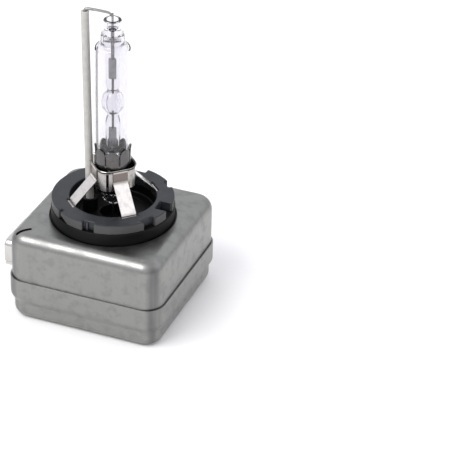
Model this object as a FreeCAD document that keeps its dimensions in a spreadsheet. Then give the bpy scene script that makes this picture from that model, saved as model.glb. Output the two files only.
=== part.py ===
import FreeCAD, Part
import math
import os

import Sketcher

# Gas-discharge headlight bulb with its igniter in a two-piece sheet-metal can.
# Frame: +Z runs along the lamp axis towards the tip, and z = 0 is the can's rear face.
# +X and +Y are square to the can's walls; the connector leaves the wall that faces -X.
# Every length is in millimetres.

Vector = FreeCAD.Vector
Rotation = FreeCAD.Rotation
Placement = FreeCAD.Placement
Z_AXIS = Vector(0, 0, 1)

doc = FreeCAD.newDocument("HeadlightBulb")
sheet = doc.addObject("Spreadsheet::Sheet", "Dims")

# ---------------------------------------------------------------------------
# Driving dimensions
# ---------------------------------------------------------------------------

DRIVING = [
    # can
    ("sheet_wall", 0.5), ("can_half_x", 21.3), ("can_half_y", 20.8), ("can_top", 25.3),
    ("can_corner", 5.0), ("can_top_fillet", 3.3), ("lap_bottom", 7.6), ("seam_height", 12.04),
    ("lap_gap", 0.03), ("rim_bottom", 7.0), ("pan_top", 4.5), ("pan_inset", 0.45),
    ("pan_fillet", 2.7), ("can_hole", 16.5), ("relief_inner", 22.3), ("relief_outer", 26.6),
    ("relief_width", 0.95), ("relief_angle", -135.6),
    # cap: moulded base and notched ring
    ("flange_radius", 19.2), ("flange_bottom", 22.6), ("neck_radius", 16.2),
    ("ring_bottom", 28.45), ("ring_top", 30.95), ("ring_radius", 16.0), ("cavity_radius", 11.3),
    ("cavity_floor", 26.0), ("well_radius", 3.4), ("well_floor", 23.4), ("tower_radius", 4.2),
    ("tower_bottom", 19.0), ("boss_circle", 14.5), ("boss_radius", 0.6), ("boss_height", 0.25),
    ("lead_in_angle", -117.5), ("lead_in_width", 3.4), ("lead_in_height", 1.2),
    # strap anchors and straps
    ("anchor_face", 11.4), ("anchor_thick", 0.5), ("anchor_width", 4.3), ("anchor_top", 30.6),
    ("anchor_play", 0.1), ("strap_width", 4.0), ("strap_thick", 0.3), ("strap_root_top", 40.6),
    ("strap_bend", 37.3), ("strap_knee", 30.9), ("strap_foot", 28.9),
    # clamp
    ("crown_inner", 4.57), ("crown_wall", 0.22), ("crown_bottom", 33.6), ("crown_root", 41.8),
    ("crown_top", 46.0), ("band_wall", 0.3), ("band_bottom", 35.0), ("band_top", 41.0),
    ("band_corner", 2.8), ("band_slit", 0.7), ("ear_reach", 1.5), ("ear_wall", 0.35),
    # lamp vessel
    ("bulb_radius", 4.55), ("bulb_wall", 0.75), ("bulb_bottom", 33.0), ("bulb_shoulder", 73.6),
    ("collar_bottom", 75.2), ("collar_top", 77.5), ("collar_radius", 3.0),
    ("stub_radius", 2.3), ("stub_top", 81.3), ("stem_radius", 2.7), ("stem_bottom", 29.6),
    ("stem_bore", 1.7), ("stem_bore_top", 43.2), ("pinch_radius", 1.9), ("arc_height", 58.45),
    ("chamber_radius", 2.95), ("chamber_half", 3.5), ("chamber_neck", 1.3), ("arc_gap", 4.2),
    ("void_radius", 1.35), ("void_half", 2.9), ("void_neck", 0.22), ("electrode_radius", 0.2),
    ("lead_radius", 0.3), ("foil_width", 1.4), ("foil_thick", 0.1), ("foil_low_start", 45.1),
    ("foil_low_end", 51.4), ("foil_high_start", 65.0), ("foil_high_end", 71.0),
    ("fit_gap", 0.02),
    # return lead and its ceramic sleeve
    ("rod_angle", -168.0), ("rod_low_reach", 6.1), ("rod_high_reach", 7.0),
    ("rod_radius", 1.05), ("rod_bore", 0.5), ("rod_bottom", 24.9), ("rod_top", 82.8),
    ("rod_hole", 1.35), ("rod_socket", 2.0), ("rod_socket_top", 29.6),
    ("wire_radius", 0.4), ("wire_bottom", 19.5), ("wire_top", 83.9),
    ("wire_bend", 0.95), ("wire_end", 0.4),
    # connector
    ("plug_centre_y", 1.55), ("plug_centre_z", 8.5), ("plug_width", 14.3), ("plug_height", 8.0),
    ("plug_corner", 1.9), ("plug_mouth", 29.4), ("plug_root", 20.2), ("plug_wall", 0.4),
    ("liner_recess", 0.25), ("liner_wall", 1.0), ("socket_floor", 19.9), ("insert_root", 17.6),
    ("split_low", 6.2), ("split_high", 9.05), ("window_length", 2.4), ("window_width", 2.7),
    ("window_reach", 26.2), ("window_side", 0.55), ("dimple_radius", 1.35),
    ("dimple_reach", 24.0), ("dimple_side", 5.15), ("pin_pitch", 2.9), ("pin_width", 1.0),
    ("pin_thick", 0.8), ("pin_tip", 24.9), ("pin_root", 15.0),
    # igniter
    ("tray_half_x", 19.8), ("tray_half_y", 19.3), ("tray_wall", 1.2), ("tray_corner", 4.0),
    ("tray_fillet", 2.4), ("board_bottom", 3.4), ("board_thick", 1.2), ("board_gap", 0.6),
    ("post_radius", 1.6), ("post_reach", 14.5), ("coil_x", 10.5), ("coil_z", 11.5),
    ("coil_half", 15.0), ("core_radius", 2.4), ("spool_radius", 3.2), ("spool_flange", 6.2),
    ("spool_flange_thick", 1.2), ("secondary_radius", 5.2), ("primary_radius", 5.6),
    ("primary_half", 4.0), ("primary_y", 6.5), ("terminal_radius", 1.7), ("terminal_bottom", 15.0),
    ("terminal_top", 22.9), ("link_thick", 0.5), ("link_width", 1.2),
    ("return_post_radius", 1.25), ("gap_radius", 4.0),
    ("gap_half", 2.6), ("gap_cap", 1.0), ("gap_x", -8.0), ("gap_y", 10.4),
    ("store_x", -10.6), ("store_y", -11.2), ("store_length", 11.0), ("store_depth", 8.4),
    ("store_height", 8.6), ("bleed_radius", 1.2), ("bleed_length", 6.5), ("bleed_x", -14.9),
    ("bleed_y", 12.0), ("choke_x", -0.9), ("choke_y", -12.6), ("choke_radius", 3.1),
    ("choke_height", 6.2),
]

for row, (alias, number) in enumerate(DRIVING, start=1):
    sheet.set("A%d" % row, alias)
    sheet.set("B%d" % row, str(number))
    sheet.setAlias("B%d" % row, alias)
doc.recompute()


class Size:
    """A length or angle that keeps the sheet expression it came from."""

    def __init__(self, value, text):
        self.value = float(value)
        self.text = text

    @staticmethod
    def of(other):
        """Wrap a plain number, or pass a Size through."""
        return other if isinstance(other, Size) else Size(other, "(%r)" % float(other))

    def combine(self, other, sign, value):
        """Join two sizes with an operator sign."""
        return Size(value, "(%s %s %s)" % (self.text, sign, other.text))

    def __add__(self, other):
        other = Size.of(other)
        return self.combine(other, "+", self.value + other.value)

    def __sub__(self, other):
        other = Size.of(other)
        return self.combine(other, "-", self.value - other.value)

    def __mul__(self, other):
        other = Size.of(other)
        return self.combine(other, "*", self.value * other.value)

    def __truediv__(self, other):
        other = Size.of(other)
        return self.combine(other, "/", self.value / other.value)

    def __neg__(self):
        return Size(-self.value, "(0 - %s)" % self.text)


class Sizes:
    """Gives each cell of the sheet as a Size, by its alias."""

    def __getattr__(self, alias):
        return Size(sheet.get(alias), "Dims.%s" % alias)


D = Sizes()
ZERO = Size.of(0)

# Heights and widths that follow from the driving dimensions.
under_top = D.can_top - D.sheet_wall
rim_inner_x = D.can_half_x + D.lap_gap
rim_inner_y = D.can_half_y + D.lap_gap
pan_half_x = D.can_half_x - D.pan_inset
pan_half_y = D.can_half_y - D.pan_inset
board_top = D.board_bottom + D.board_thick
crown_outer = D.crown_inner + D.crown_wall
band_half = crown_outer + D.fit_gap + D.band_wall
strap_face = band_half + D.fit_gap
rod_slope = (D.rod_high_reach - D.rod_low_reach) / (D.rod_top - D.rod_bottom)
plug_half_y = D.plug_width / 2
plug_half_z = D.plug_height / 2

# ---------------------------------------------------------------------------
# Sketch and feature helpers
# ---------------------------------------------------------------------------


def bind(target, name, size):
    """Drive one property of an object from the sheet."""
    size = Size.of(size)
    target.setExpression(name, size.text)


def new_body(label):
    """Start a body whose label is the sub-part's name."""
    body = doc.addObject("PartDesign::Body", label)
    body.Label = label
    return body


def origin_plane(body, role):
    """Find one of a body's own origin planes by its role."""
    for feature in body.Origin.OriginFeatures:
        if feature.Role == role:
            return feature
    raise ValueError("no plane " + role)


def sketch_on(body, role, offset=ZERO, turn=ZERO):
    """Add a sketch on an origin plane, lifted along the normal and turned about it."""
    sketch = body.newObject("Sketcher::SketchObject", "Sketch")
    sketch.AttachmentSupport = (origin_plane(body, role), [""])
    sketch.MapMode = "FlatFace"
    sketch.AttachmentOffset = Placement(Vector(0, 0, offset.value), Rotation(Z_AXIS, turn.value))
    bind(sketch, "AttachmentOffset.Base.z", offset)
    bind(sketch, "AttachmentOffset.Rotation.Angle", turn)
    return sketch


def datum(sketch, constraint, size):
    """Add a dimension to a sketch and drive it from the sheet."""
    index = sketch.addConstraint(constraint)
    sketch.renameConstraint(index, "size%d" % index)
    sketch.setExpression("Constraints.size%d" % index, size.text)


def place_point(sketch, edge, end, x, y):
    """Hold one end of an edge at (x, y) from the sketch origin."""
    datum(sketch, Sketcher.Constraint("DistanceX", -1, 1, edge, end, x.value), x)
    datum(sketch, Sketcher.Constraint("DistanceY", -1, 1, edge, end, y.value), y)


def draw_circle(sketch, radius, x=ZERO, y=ZERO):
    """Draw a circle with a driven radius and centre."""
    radius = Size.of(radius)
    centre = Vector(x.value, y.value, 0)
    edge = sketch.addGeometry(Part.Circle(centre, Z_AXIS, radius.value), False)
    datum(sketch, Sketcher.Constraint("Radius", edge, radius.value), radius)
    place_point(sketch, edge, 3, x, y)


def draw_polygon(sketch, corners):
    """Draw a closed outline of straight edges through driven corners."""
    corners = [(Size.of(x), Size.of(y)) for x, y in corners]
    count = len(corners)
    first = sketch.GeometryCount
    for index in range(count):
        x0, y0 = corners[index]
        x1, y1 = corners[(index + 1) % count]
        line = Part.LineSegment(Vector(x0.value, y0.value, 0), Vector(x1.value, y1.value, 0))
        sketch.addGeometry(line, False)
    for index in range(count):
        follower = (index + 1) % count
        sketch.addConstraint(
            Sketcher.Constraint("Coincident", first + index, 2, first + follower, 1))
    for index, (x, y) in enumerate(corners):
        place_point(sketch, first + index, 1, x, y)


def draw_rectangle(sketch, x0, x1, y0, y1):
    """Draw a rectangle between two driven corners."""
    draw_polygon(sketch, [(x0, y0), (x1, y0), (x1, y1), (x0, y1)])


def draw_rounded(sketch, half_x, half_y, radius, x=ZERO, y=ZERO):
    """Draw a rounded rectangle about (x, y)."""
    half_x, half_y, radius = Size.of(half_x), Size.of(half_y), Size.of(radius)
    right, left = x.value + half_x.value, x.value - half_x.value
    high, low = y.value + half_y.value, y.value - half_y.value
    r = radius.value
    lines = [((left + r, low), (right - r, low)), ((right, low + r), (right, high - r)),
             ((right - r, high), (left + r, high)), ((left, high - r), (left, low + r))]
    centres = [(right - r, low + r), (right - r, high - r), (left + r, high - r),
               (left + r, low + r)]
    first = sketch.GeometryCount
    for start, end in lines:
        sketch.addGeometry(Part.LineSegment(Vector(*start, 0), Vector(*end, 0)), False)
    for quarter, centre in enumerate(centres):
        circle = Part.Circle(Vector(*centre, 0), Z_AXIS, r)
        begin = (quarter - 1) * math.pi / 2
        sketch.addGeometry(Part.ArcOfCircle(circle, begin, begin + math.pi / 2), False)
    for side in range(4):
        arc = first + 4 + side
        sketch.addConstraint(Sketcher.Constraint("Tangent", first + side, 2, arc, 1))
        sketch.addConstraint(Sketcher.Constraint("Tangent", arc, 2, first + (side + 1) % 4, 1))
        flat = "Horizontal" if side % 2 == 0 else "Vertical"
        sketch.addConstraint(Sketcher.Constraint(flat, first + side))
    for side in range(1, 4):
        sketch.addConstraint(Sketcher.Constraint("Equal", first + 4, first + 4 + side))
    datum(sketch, Sketcher.Constraint("Radius", first + 4, r), radius)
    datum(sketch, Sketcher.Constraint("DistanceX", -1, 1, first + 1, 1, right), x + half_x)
    datum(sketch, Sketcher.Constraint("DistanceX", -1, 1, first + 3, 1, left), x - half_x)
    datum(sketch, Sketcher.Constraint("DistanceY", -1, 1, first + 2, 1, high), y + half_y)
    datum(sketch, Sketcher.Constraint("DistanceY", -1, 1, first, 1, low), y - half_y)


def pad(body, sketch, length, both_ways=False):
    """Raise a sketch along its normal, or equally to both sides of it."""
    length = Size.of(length)
    feature = body.newObject("PartDesign::Pad", "Pad")
    feature.Profile = sketch
    feature.Length = length.value
    bind(feature, "Length", length)
    feature.Midplane = both_ways
    doc.recompute()
    return feature


def pocket(body, sketch, length, both_ways=False):
    """Cut a sketch along its normal, and make sure that it removed material."""
    length = Size.of(length)
    before = body.Shape.Volume
    feature = body.newObject("PartDesign::Pocket", "Pocket")
    feature.Profile = sketch
    feature.Length = length.value
    bind(feature, "Length", length)
    feature.Midplane = both_ways
    feature.Reversed = not both_ways
    doc.recompute()
    if body.Shape.Volume >= before - 1e-6:
        raise ValueError("a pocket of %s cut nothing" % body.Label)
    return feature


def spin(body, sketch, kind="PartDesign::Revolution"):
    """Turn a sketch on the XZ plane a full turn about the lamp axis."""
    feature = body.newObject(kind, "Spin")
    feature.Profile = sketch
    feature.ReferenceAxis = (sketch, ["V_Axis"])
    feature.Angle = 360.0
    doc.recompute()
    return feature


def round_edges(body, base, radius, chosen):
    """Fillet the edges of a feature that a test picks out."""
    radius = Size.of(radius)
    names = ["Edge%d" % (index + 1) for index, edge in enumerate(base.Shape.Edges) if chosen(edge)]
    feature = body.newObject("PartDesign::Fillet", "Fillet")
    feature.Base = (base, names)
    feature.Radius = radius.value
    bind(feature, "Radius", radius)
    doc.recompute()
    return feature


def level_edges(height):
    """Make a test for edges that lie flat at one height."""
    def chosen(edge):
        return all(abs(point.Point.z - height.value) < 1e-4 for point in edge.Vertexes)
    return chosen


def revolved(label, outline):
    """A body of revolution about the lamp axis, from (radius, height) corners."""
    body = new_body(label)
    sketch = sketch_on(body, "XZ_Plane")
    draw_polygon(sketch, outline)
    spin(body, sketch)
    return body


def tube(label, outer, inner, low, high, x=ZERO, y=ZERO):
    """An upright tube, or a rod where inner is None."""
    body = new_body(label)
    sketch = sketch_on(body, "XY_Plane", low)
    draw_circle(sketch, outer, x, y)
    if inner is not None:
        draw_circle(sketch, inner, x, y)
    pad(body, sketch, high - low)
    return body


def barrel(label, outer, inner, centre_y, half, x, z):
    """A tube, or a rod where inner is None, that lies along Y."""
    body = new_body(label)
    sketch = sketch_on(body, "XZ_Plane", -centre_y)
    draw_circle(sketch, outer, x, z)
    if inner is not None:
        draw_circle(sketch, inner, x, z)
    pad(body, sketch, half * 2, both_ways=True)
    return body


def block(label, x0, x1, y0, y1, z0, z1):
    """A plain block between two corners."""
    body = new_body(label)
    sketch = sketch_on(body, "XY_Plane", z0)
    draw_rectangle(sketch, x0, x1, y0, y1)
    pad(body, sketch, z1 - z0)
    return body


def cut_slot(body, reach_in, reach_out, width, low, high, angle=ZERO):
    """Cut a radial slot, square to the lamp axis, through a band of heights."""
    sketch = sketch_on(body, "XY_Plane", low, angle)
    draw_rectangle(sketch, reach_in, reach_out, -width / 2, width / 2)
    pocket(body, sketch, high - low)


def turned(body, angle):
    """Turn a finished body about the lamp axis."""
    body.Placement = Placement(Vector(0, 0, 0), Rotation(Z_AXIS, angle))
    return body


# ---------------------------------------------------------------------------
# Can: two drawn shells that lap inside the rim
# ---------------------------------------------------------------------------


def can_solid(label, half_x, half_y, corner, low, high, fillet, fillet_height):
    """A rounded block with one soft end, used for a shell's outside or inside."""
    body = new_body(label)
    sketch = sketch_on(body, "XY_Plane", low)
    draw_rounded(sketch, half_x, half_y, corner)
    base = pad(body, sketch, high - low)
    round_edges(body, base, fillet, level_edges(fillet_height))
    return body


def hollow(label, outside, inside):
    """Take one solid away from another."""
    shell = doc.addObject("Part::Cut", label)
    shell.Base = outside
    shell.Tool = inside
    shell.Label = label
    doc.recompute()
    return shell


def connector_gap(body, low, high, side_gap):
    """Open a shell's -X wall for the connector."""
    sketch = sketch_on(body, "XY_Plane", low)
    low_side = D.plug_centre_y - plug_half_y - side_gap
    high_side = D.plug_centre_y + plug_half_y + side_gap
    draw_rectangle(sketch, -(D.can_half_x + 3), -(D.can_half_x - 3), low_side, high_side)
    pocket(body, sketch, high - low)


def build_front_shell():
    outside = can_solid("front_shell_outside", D.can_half_x, D.can_half_y, D.can_corner,
                        D.lap_bottom, D.can_top, D.can_top_fillet, D.can_top)
    hole = sketch_on(outside, "XY_Plane", under_top - 1)
    draw_circle(hole, D.can_hole)
    pocket(outside, hole, D.sheet_wall + 2)
    cut_slot(outside, D.relief_inner, D.relief_outer, D.relief_width,
             D.can_top - D.can_top_fillet, D.can_top + 1, D.relief_angle)
    connector_gap(outside, D.lap_bottom - 1, D.plug_centre_z + plug_half_z + 0.1, Size.of(0.12))
    inside = can_solid("front_shell_inside", D.can_half_x - D.sheet_wall,
                       D.can_half_y - D.sheet_wall, D.can_corner - D.sheet_wall,
                       D.lap_bottom - 1, under_top, D.can_top_fillet - D.sheet_wall, under_top)
    return hollow("front_shell", outside, inside)


def pan_solid(label, grow, bottom, top):
    """The rear shell's outside (grow 0) or inside (grow minus one wall)."""
    body = new_body(label)
    rim_x = rim_inner_x + D.sheet_wall + grow
    rim_y = rim_inner_y + D.sheet_wall + grow
    rim_corner = D.can_corner + D.lap_gap + D.sheet_wall + grow
    pan_corner = D.can_corner - D.pan_inset + grow
    floor = sketch_on(body, "XY_Plane", bottom)
    draw_rounded(floor, pan_half_x + grow, pan_half_y + grow, pan_corner)
    base = pad(body, floor, D.pan_top - bottom)
    round_edges(body, base, D.pan_fillet + grow, level_edges(bottom))
    step_low = sketch_on(body, "XY_Plane", D.pan_top)
    draw_rounded(step_low, pan_half_x + grow, pan_half_y + grow, pan_corner)
    step_high = sketch_on(body, "XY_Plane", D.rim_bottom)
    draw_rounded(step_high, rim_x, rim_y, rim_corner)
    step = body.newObject("PartDesign::AdditiveLoft", "Step")
    step.Profile = step_low
    step.Sections = [step_high]
    step.Ruled = True
    doc.recompute()
    rim = sketch_on(body, "XY_Plane", D.rim_bottom)
    draw_rounded(rim, rim_x, rim_y, rim_corner)
    pad(body, rim, top - D.rim_bottom)
    return body


def build_rear_shell():
    outside = pan_solid("rear_shell_outside", ZERO, ZERO, D.seam_height)
    connector_gap(outside, D.plug_centre_z - plug_half_z - 0.1, D.seam_height + 1, Size.of(0.5))
    inside = pan_solid("rear_shell_inside", -D.sheet_wall, D.sheet_wall, D.seam_height + 1)
    return hollow("rear_shell", outside, inside)


# ---------------------------------------------------------------------------
# Connector: a formed shield round a moulded insert with four pins
# ---------------------------------------------------------------------------


def yz_tube_sketch(body, reach, shrink):
    """A rounded outline of the connector at a distance out along -X."""
    sketch = sketch_on(body, "YZ_Plane", -reach)
    draw_rounded(sketch, plug_half_y - shrink, plug_half_z - shrink, D.plug_corner - shrink,
                 D.plug_centre_y, D.plug_centre_z)
    return sketch


def build_connector_shield():
    body = new_body("connector_shield")
    pad(body, yz_tube_sketch(body, D.plug_mouth, ZERO), D.plug_mouth - D.plug_root)
    pocket(body, yz_tube_sketch(body, D.plug_mouth, D.plug_wall), D.plug_mouth - D.plug_root)
    face = D.plug_centre_z + plug_half_z
    window = sketch_on(body, "XY_Plane", face - D.plug_wall - 0.5)
    half_length, half_width = D.window_length / 2, D.window_width / 2
    draw_rectangle(window, -D.window_reach - half_length, -D.window_reach + half_length,
                   D.window_side - half_width, D.window_side + half_width)
    pocket(body, window, D.plug_wall + 1)
    dimple = sketch_on(body, "XY_Plane", face - D.plug_wall - 0.5)
    draw_circle(dimple, D.dimple_radius, -D.dimple_reach, D.dimple_side)
    pocket(body, dimple, D.plug_wall + 1)
    side = D.plug_centre_y + plug_half_y
    split = sketch_on(body, "XY_Plane", D.split_low)
    draw_rectangle(split, -D.plug_mouth - 1, -(D.can_half_x + 0.2),
                   side - D.plug_wall - 0.3, side + 0.5)
    pocket(body, split, D.split_high - D.split_low)
    return body


def pin_side(index):
    """Place along Y of one pin's centre."""
    return D.plug_centre_y + D.pin_pitch * (index - 1.5)


def build_connector_insert():
    body = new_body("connector_insert")
    reach = D.plug_mouth - D.liner_recess
    pad(body, yz_tube_sketch(body, reach, D.plug_wall), reach - D.insert_root)
    pocket(body, yz_tube_sketch(body, reach, D.plug_wall + D.liner_wall), reach - D.socket_floor)
    for index in range(4):
        hole = sketch_on(body, "YZ_Plane", -(D.socket_floor + 1))
        side = pin_side(index)
        draw_rectangle(hole, side - D.pin_width / 2, side + D.pin_width / 2,
                       D.plug_centre_z - D.pin_thick / 2, D.plug_centre_z + D.pin_thick / 2)
        pocket(body, hole, D.socket_floor + 2 - D.insert_root)
    return body


def build_connector_pin(index):
    """A flat pin that runs in from the socket and turns down to the board."""
    body = new_body("connector_pin_%d" % (index + 1))
    sketch = sketch_on(body, "XZ_Plane", -pin_side(index))
    high = D.plug_centre_z + D.pin_thick / 2
    low = D.plug_centre_z - D.pin_thick / 2
    draw_polygon(sketch, [(-D.pin_tip, low), (-D.pin_root - D.pin_thick, low),
                          (-D.pin_root - D.pin_thick, board_top), (-D.pin_root, board_top),
                          (-D.pin_root, high), (-D.pin_tip, high)])
    pad(body, sketch, D.pin_width, both_ways=True)
    return body


# ---------------------------------------------------------------------------
# Igniter inside the can
# ---------------------------------------------------------------------------


def build_igniter_tray():
    body = new_body("igniter_tray")
    outline = sketch_on(body, "XY_Plane", D.sheet_wall)
    draw_rounded(outline, D.tray_half_x, D.tray_half_y, D.tray_corner)
    base = pad(body, outline, D.flange_bottom - D.sheet_wall)
    round_edges(body, base, D.tray_fillet, level_edges(D.sheet_wall))
    floor = D.sheet_wall + D.tray_wall
    room = sketch_on(body, "XY_Plane", floor)
    draw_rounded(room, D.tray_half_x - D.tray_wall, D.tray_half_y - D.tray_wall,
                 D.tray_corner - D.tray_wall)
    pocket(body, room, D.flange_bottom - floor + 1)
    posts = sketch_on(body, "XY_Plane", floor)
    for side_x in (1, -1):
        for side_y in (1, -1):
            draw_circle(posts, D.post_radius, D.post_reach * side_x, D.post_reach * side_y)
    pad(body, posts, D.board_bottom - floor)
    passage = sketch_on(body, "YZ_Plane", -(D.tray_half_x + 1))
    draw_rounded(passage, plug_half_y - D.plug_wall, plug_half_z - D.plug_wall,
                 D.plug_corner - D.plug_wall, D.plug_centre_y, D.plug_centre_z)
    pocket(body, passage, D.tray_wall + 2)
    return body


def build_circuit_board():
    half_x = D.tray_half_x - D.tray_wall - D.board_gap
    half_y = D.tray_half_y - D.tray_wall - D.board_gap
    body = new_body("circuit_board")
    outline = sketch_on(body, "XY_Plane", D.board_bottom)
    draw_rounded(outline, half_x, half_y, D.tray_corner - D.tray_wall)
    pad(body, outline, D.board_thick)
    return body


def build_transformer():
    """Ferrite rod, spool and the two windings, lying along Y."""
    barrel("transformer_core", D.core_radius, None, ZERO, D.coil_half, D.coil_x, D.coil_z)
    spool = barrel("transformer_spool", D.spool_radius, D.core_radius, ZERO, D.coil_half,
                   D.coil_x, D.coil_z)
    for side in (1, -1):
        centre = (D.coil_half - D.spool_flange_thick / 2) * side
        flange = sketch_on(spool, "XZ_Plane", centre)
        draw_circle(flange, D.spool_flange, D.coil_x, D.coil_z)
        draw_circle(flange, D.core_radius, D.coil_x, D.coil_z)
        pad(spool, flange, D.spool_flange_thick, both_ways=True)
    winding_half = D.coil_half - D.spool_flange_thick
    barrel("secondary_winding", D.secondary_radius, D.spool_radius, ZERO, winding_half,
           D.coil_x, D.coil_z)
    barrel("primary_winding", D.primary_radius, D.secondary_radius, D.primary_y, D.primary_half,
           D.coil_x, D.coil_z)


def build_spark_gap():
    """A ceramic gas tube with a metal cap on each end."""
    height = board_top + D.gap_radius
    barrel("spark_gap_body", D.gap_radius - 0.3, None, D.gap_y, D.gap_half, D.gap_x, height)
    for side, name in ((1, "a"), (-1, "b")):
        centre = D.gap_y + (D.gap_half + D.gap_cap / 2) * side
        barrel("spark_gap_cap_" + name, D.gap_radius, None, centre, D.gap_cap / 2,
               D.gap_x, height)


def build_board_parts():
    """Capacitor, resistor and choke that stand on the board."""
    half_length, half_depth = D.store_length / 2, D.store_depth / 2
    block("ignition_capacitor", D.store_x - half_length, D.store_x + half_length,
          D.store_y - half_depth, D.store_y + half_depth, board_top, board_top + D.store_height)
    barrel("bleed_resistor", D.bleed_radius, None, D.bleed_y, D.bleed_length / 2,
           D.bleed_x, board_top + D.bleed_radius)
    tube("filter_choke", D.choke_radius, None, board_top, board_top + D.choke_height,
         D.choke_x, D.choke_y)


def build_terminals():
    """The lamp's two terminals and the strip from the secondary winding."""
    tube("high_voltage_terminal", D.terminal_radius, D.lead_radius, D.terminal_bottom,
         D.terminal_top)
    strip = new_body("high_voltage_strip")
    side = sketch_on(strip, "XZ_Plane")
    contact = D.coil_x - D.secondary_radius
    low = D.coil_z - D.link_width / 4
    draw_polygon(side, [(-D.terminal_radius, D.terminal_bottom),
                        (-D.terminal_radius, D.terminal_bottom - D.link_thick),
                        (contact - D.link_thick, D.terminal_bottom - D.link_thick),
                        (contact - D.link_thick, low), (contact, low),
                        (contact, D.terminal_bottom)])
    pad(strip, side, D.link_width, both_ways=True)
    post_reach = D.rod_low_reach - rod_slope * (D.rod_bottom - D.wire_bottom)
    post = tube("return_terminal", D.return_post_radius, None, board_top,
                D.flange_bottom, post_reach)
    socket = sketch_on(post, "XY_Plane", D.wire_bottom)
    draw_circle(socket, D.wire_radius + 0.15, post_reach)
    pocket(post, socket, D.flange_bottom - D.wire_bottom + 1)
    turned(post, D.rod_angle.value)


# ---------------------------------------------------------------------------
# Cap: moulded base, notched ring and the strap anchors set in it
# ---------------------------------------------------------------------------

STRAP_ANGLES = [45, 135, 225, 315]
# Notches in the ring's rim: angle about the axis, width and depth from the rim.
RING_NOTCHES = [(-125.0, 0.9, 1.3), (-90.0, 3.2, 1.2), (-30.0, 3.4, 1.4), (0.0, 4.1, 3.5),
                (44.5, 3.3, 1.2), (86.5, 4.4, 1.9)]


def cut_anchor_pockets(body, low, high):
    """Open the cap's inner wall where the strap anchors stand."""
    reach_out = D.anchor_face + D.anchor_thick + D.anchor_play
    for angle in STRAP_ANGLES:
        cut_slot(body, D.cavity_radius - 1.5, reach_out, D.anchor_width + D.anchor_play * 2,
                 low, high, Size.of(angle))


def build_cap_base():
    body = revolved("cap_base", [
        (D.flange_radius, D.flange_bottom), (D.flange_radius, under_top - 1.0),
        (D.flange_radius - 1.8, under_top), (D.neck_radius, under_top),
        (D.neck_radius, D.ring_bottom),
        (D.cavity_radius, D.ring_bottom), (D.cavity_radius, D.cavity_floor),
        (D.well_radius, D.cavity_floor), (D.well_radius, D.well_floor),
        (D.terminal_radius, D.well_floor), (D.terminal_radius, D.tower_bottom),
        (D.tower_radius, D.tower_bottom), (D.tower_radius, D.flange_bottom)])
    cut_anchor_pockets(body, D.cavity_floor, D.ring_bottom + 1)
    socket = sketch_on(body, "XY_Plane", D.cavity_floor, D.rod_angle)
    draw_circle(socket, D.rod_socket, D.rod_low_reach)
    pad(body, socket, D.rod_socket_top - D.cavity_floor)
    hole = sketch_on(body, "XY_Plane", D.flange_bottom - 1, D.rod_angle)
    draw_circle(hole, D.rod_hole, D.rod_low_reach)
    pocket(body, hole, D.rod_socket_top - D.flange_bottom + 2)
    return body


def build_cap_ring():
    body = new_body("cap_ring")
    outline = sketch_on(body, "XY_Plane", D.ring_bottom)
    draw_circle(outline, D.ring_radius)
    draw_circle(outline, D.cavity_radius)
    pad(body, outline, D.ring_top - D.ring_bottom)
    for angle, width, depth in RING_NOTCHES:
        cut_slot(body, D.ring_radius - depth, D.ring_radius + 1, Size.of(width),
                 D.ring_bottom - 1, D.ring_top + 1, Size.of(angle))
    cut_slot(body, D.ring_radius - 1.2, D.ring_radius + 1, D.lead_in_width,
             D.ring_bottom - 1, D.ring_bottom + D.lead_in_height, D.lead_in_angle)
    cut_anchor_pockets(body, D.ring_bottom - 1, D.ring_top + 1)
    for angle in (60, 180, 300):
        boss = sketch_on(body, "XY_Plane", D.ring_top, Size.of(angle))
        draw_circle(boss, D.boss_radius, D.boss_circle)
        pad(body, boss, D.boss_height)
    return body


def build_strap_anchor(index, angle):
    """A small plate set upright in the cap's inner wall."""
    half = D.anchor_width / 2
    plate = block("strap_anchor_%d" % index, D.anchor_face, D.anchor_face + D.anchor_thick,
                  -half, half, D.cavity_floor, D.anchor_top)
    return turned(plate, angle)


def build_support_strap(index, angle):
    """A flat strap from the clamp out and down to its anchor."""
    body = new_body("support_strap_%d" % index)
    side = sketch_on(body, "XZ_Plane")
    inner, outer = strap_face, strap_face + D.strap_thick
    foot_in, foot_out = D.anchor_face - D.strap_thick, D.anchor_face
    draw_polygon(side, [(inner, D.strap_root_top), (outer, D.strap_root_top),
                        (outer, D.strap_bend + 0.12), (foot_out, D.strap_knee),
                        (foot_out, D.strap_foot), (foot_in, D.strap_foot),
                        (foot_in, D.strap_knee - 0.12), (inner, D.strap_bend)])
    pad(body, side, D.strap_width, both_ways=True)
    return turned(body, angle)


# ---------------------------------------------------------------------------
# Clamp that holds the lamp vessel
# ---------------------------------------------------------------------------


def build_clamp_crown():
    """A sleeve whose upper edge is split into eight fingers."""
    body = tube("clamp_crown", crown_outer, D.crown_inner, D.crown_bottom, D.crown_top)
    for step in range(8):
        cut_slot(body, D.crown_inner - 1, crown_outer + 1, Size.of(0.7), D.crown_root,
                 D.crown_top + 1, Size.of(45.0 * step))
    return body


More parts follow.
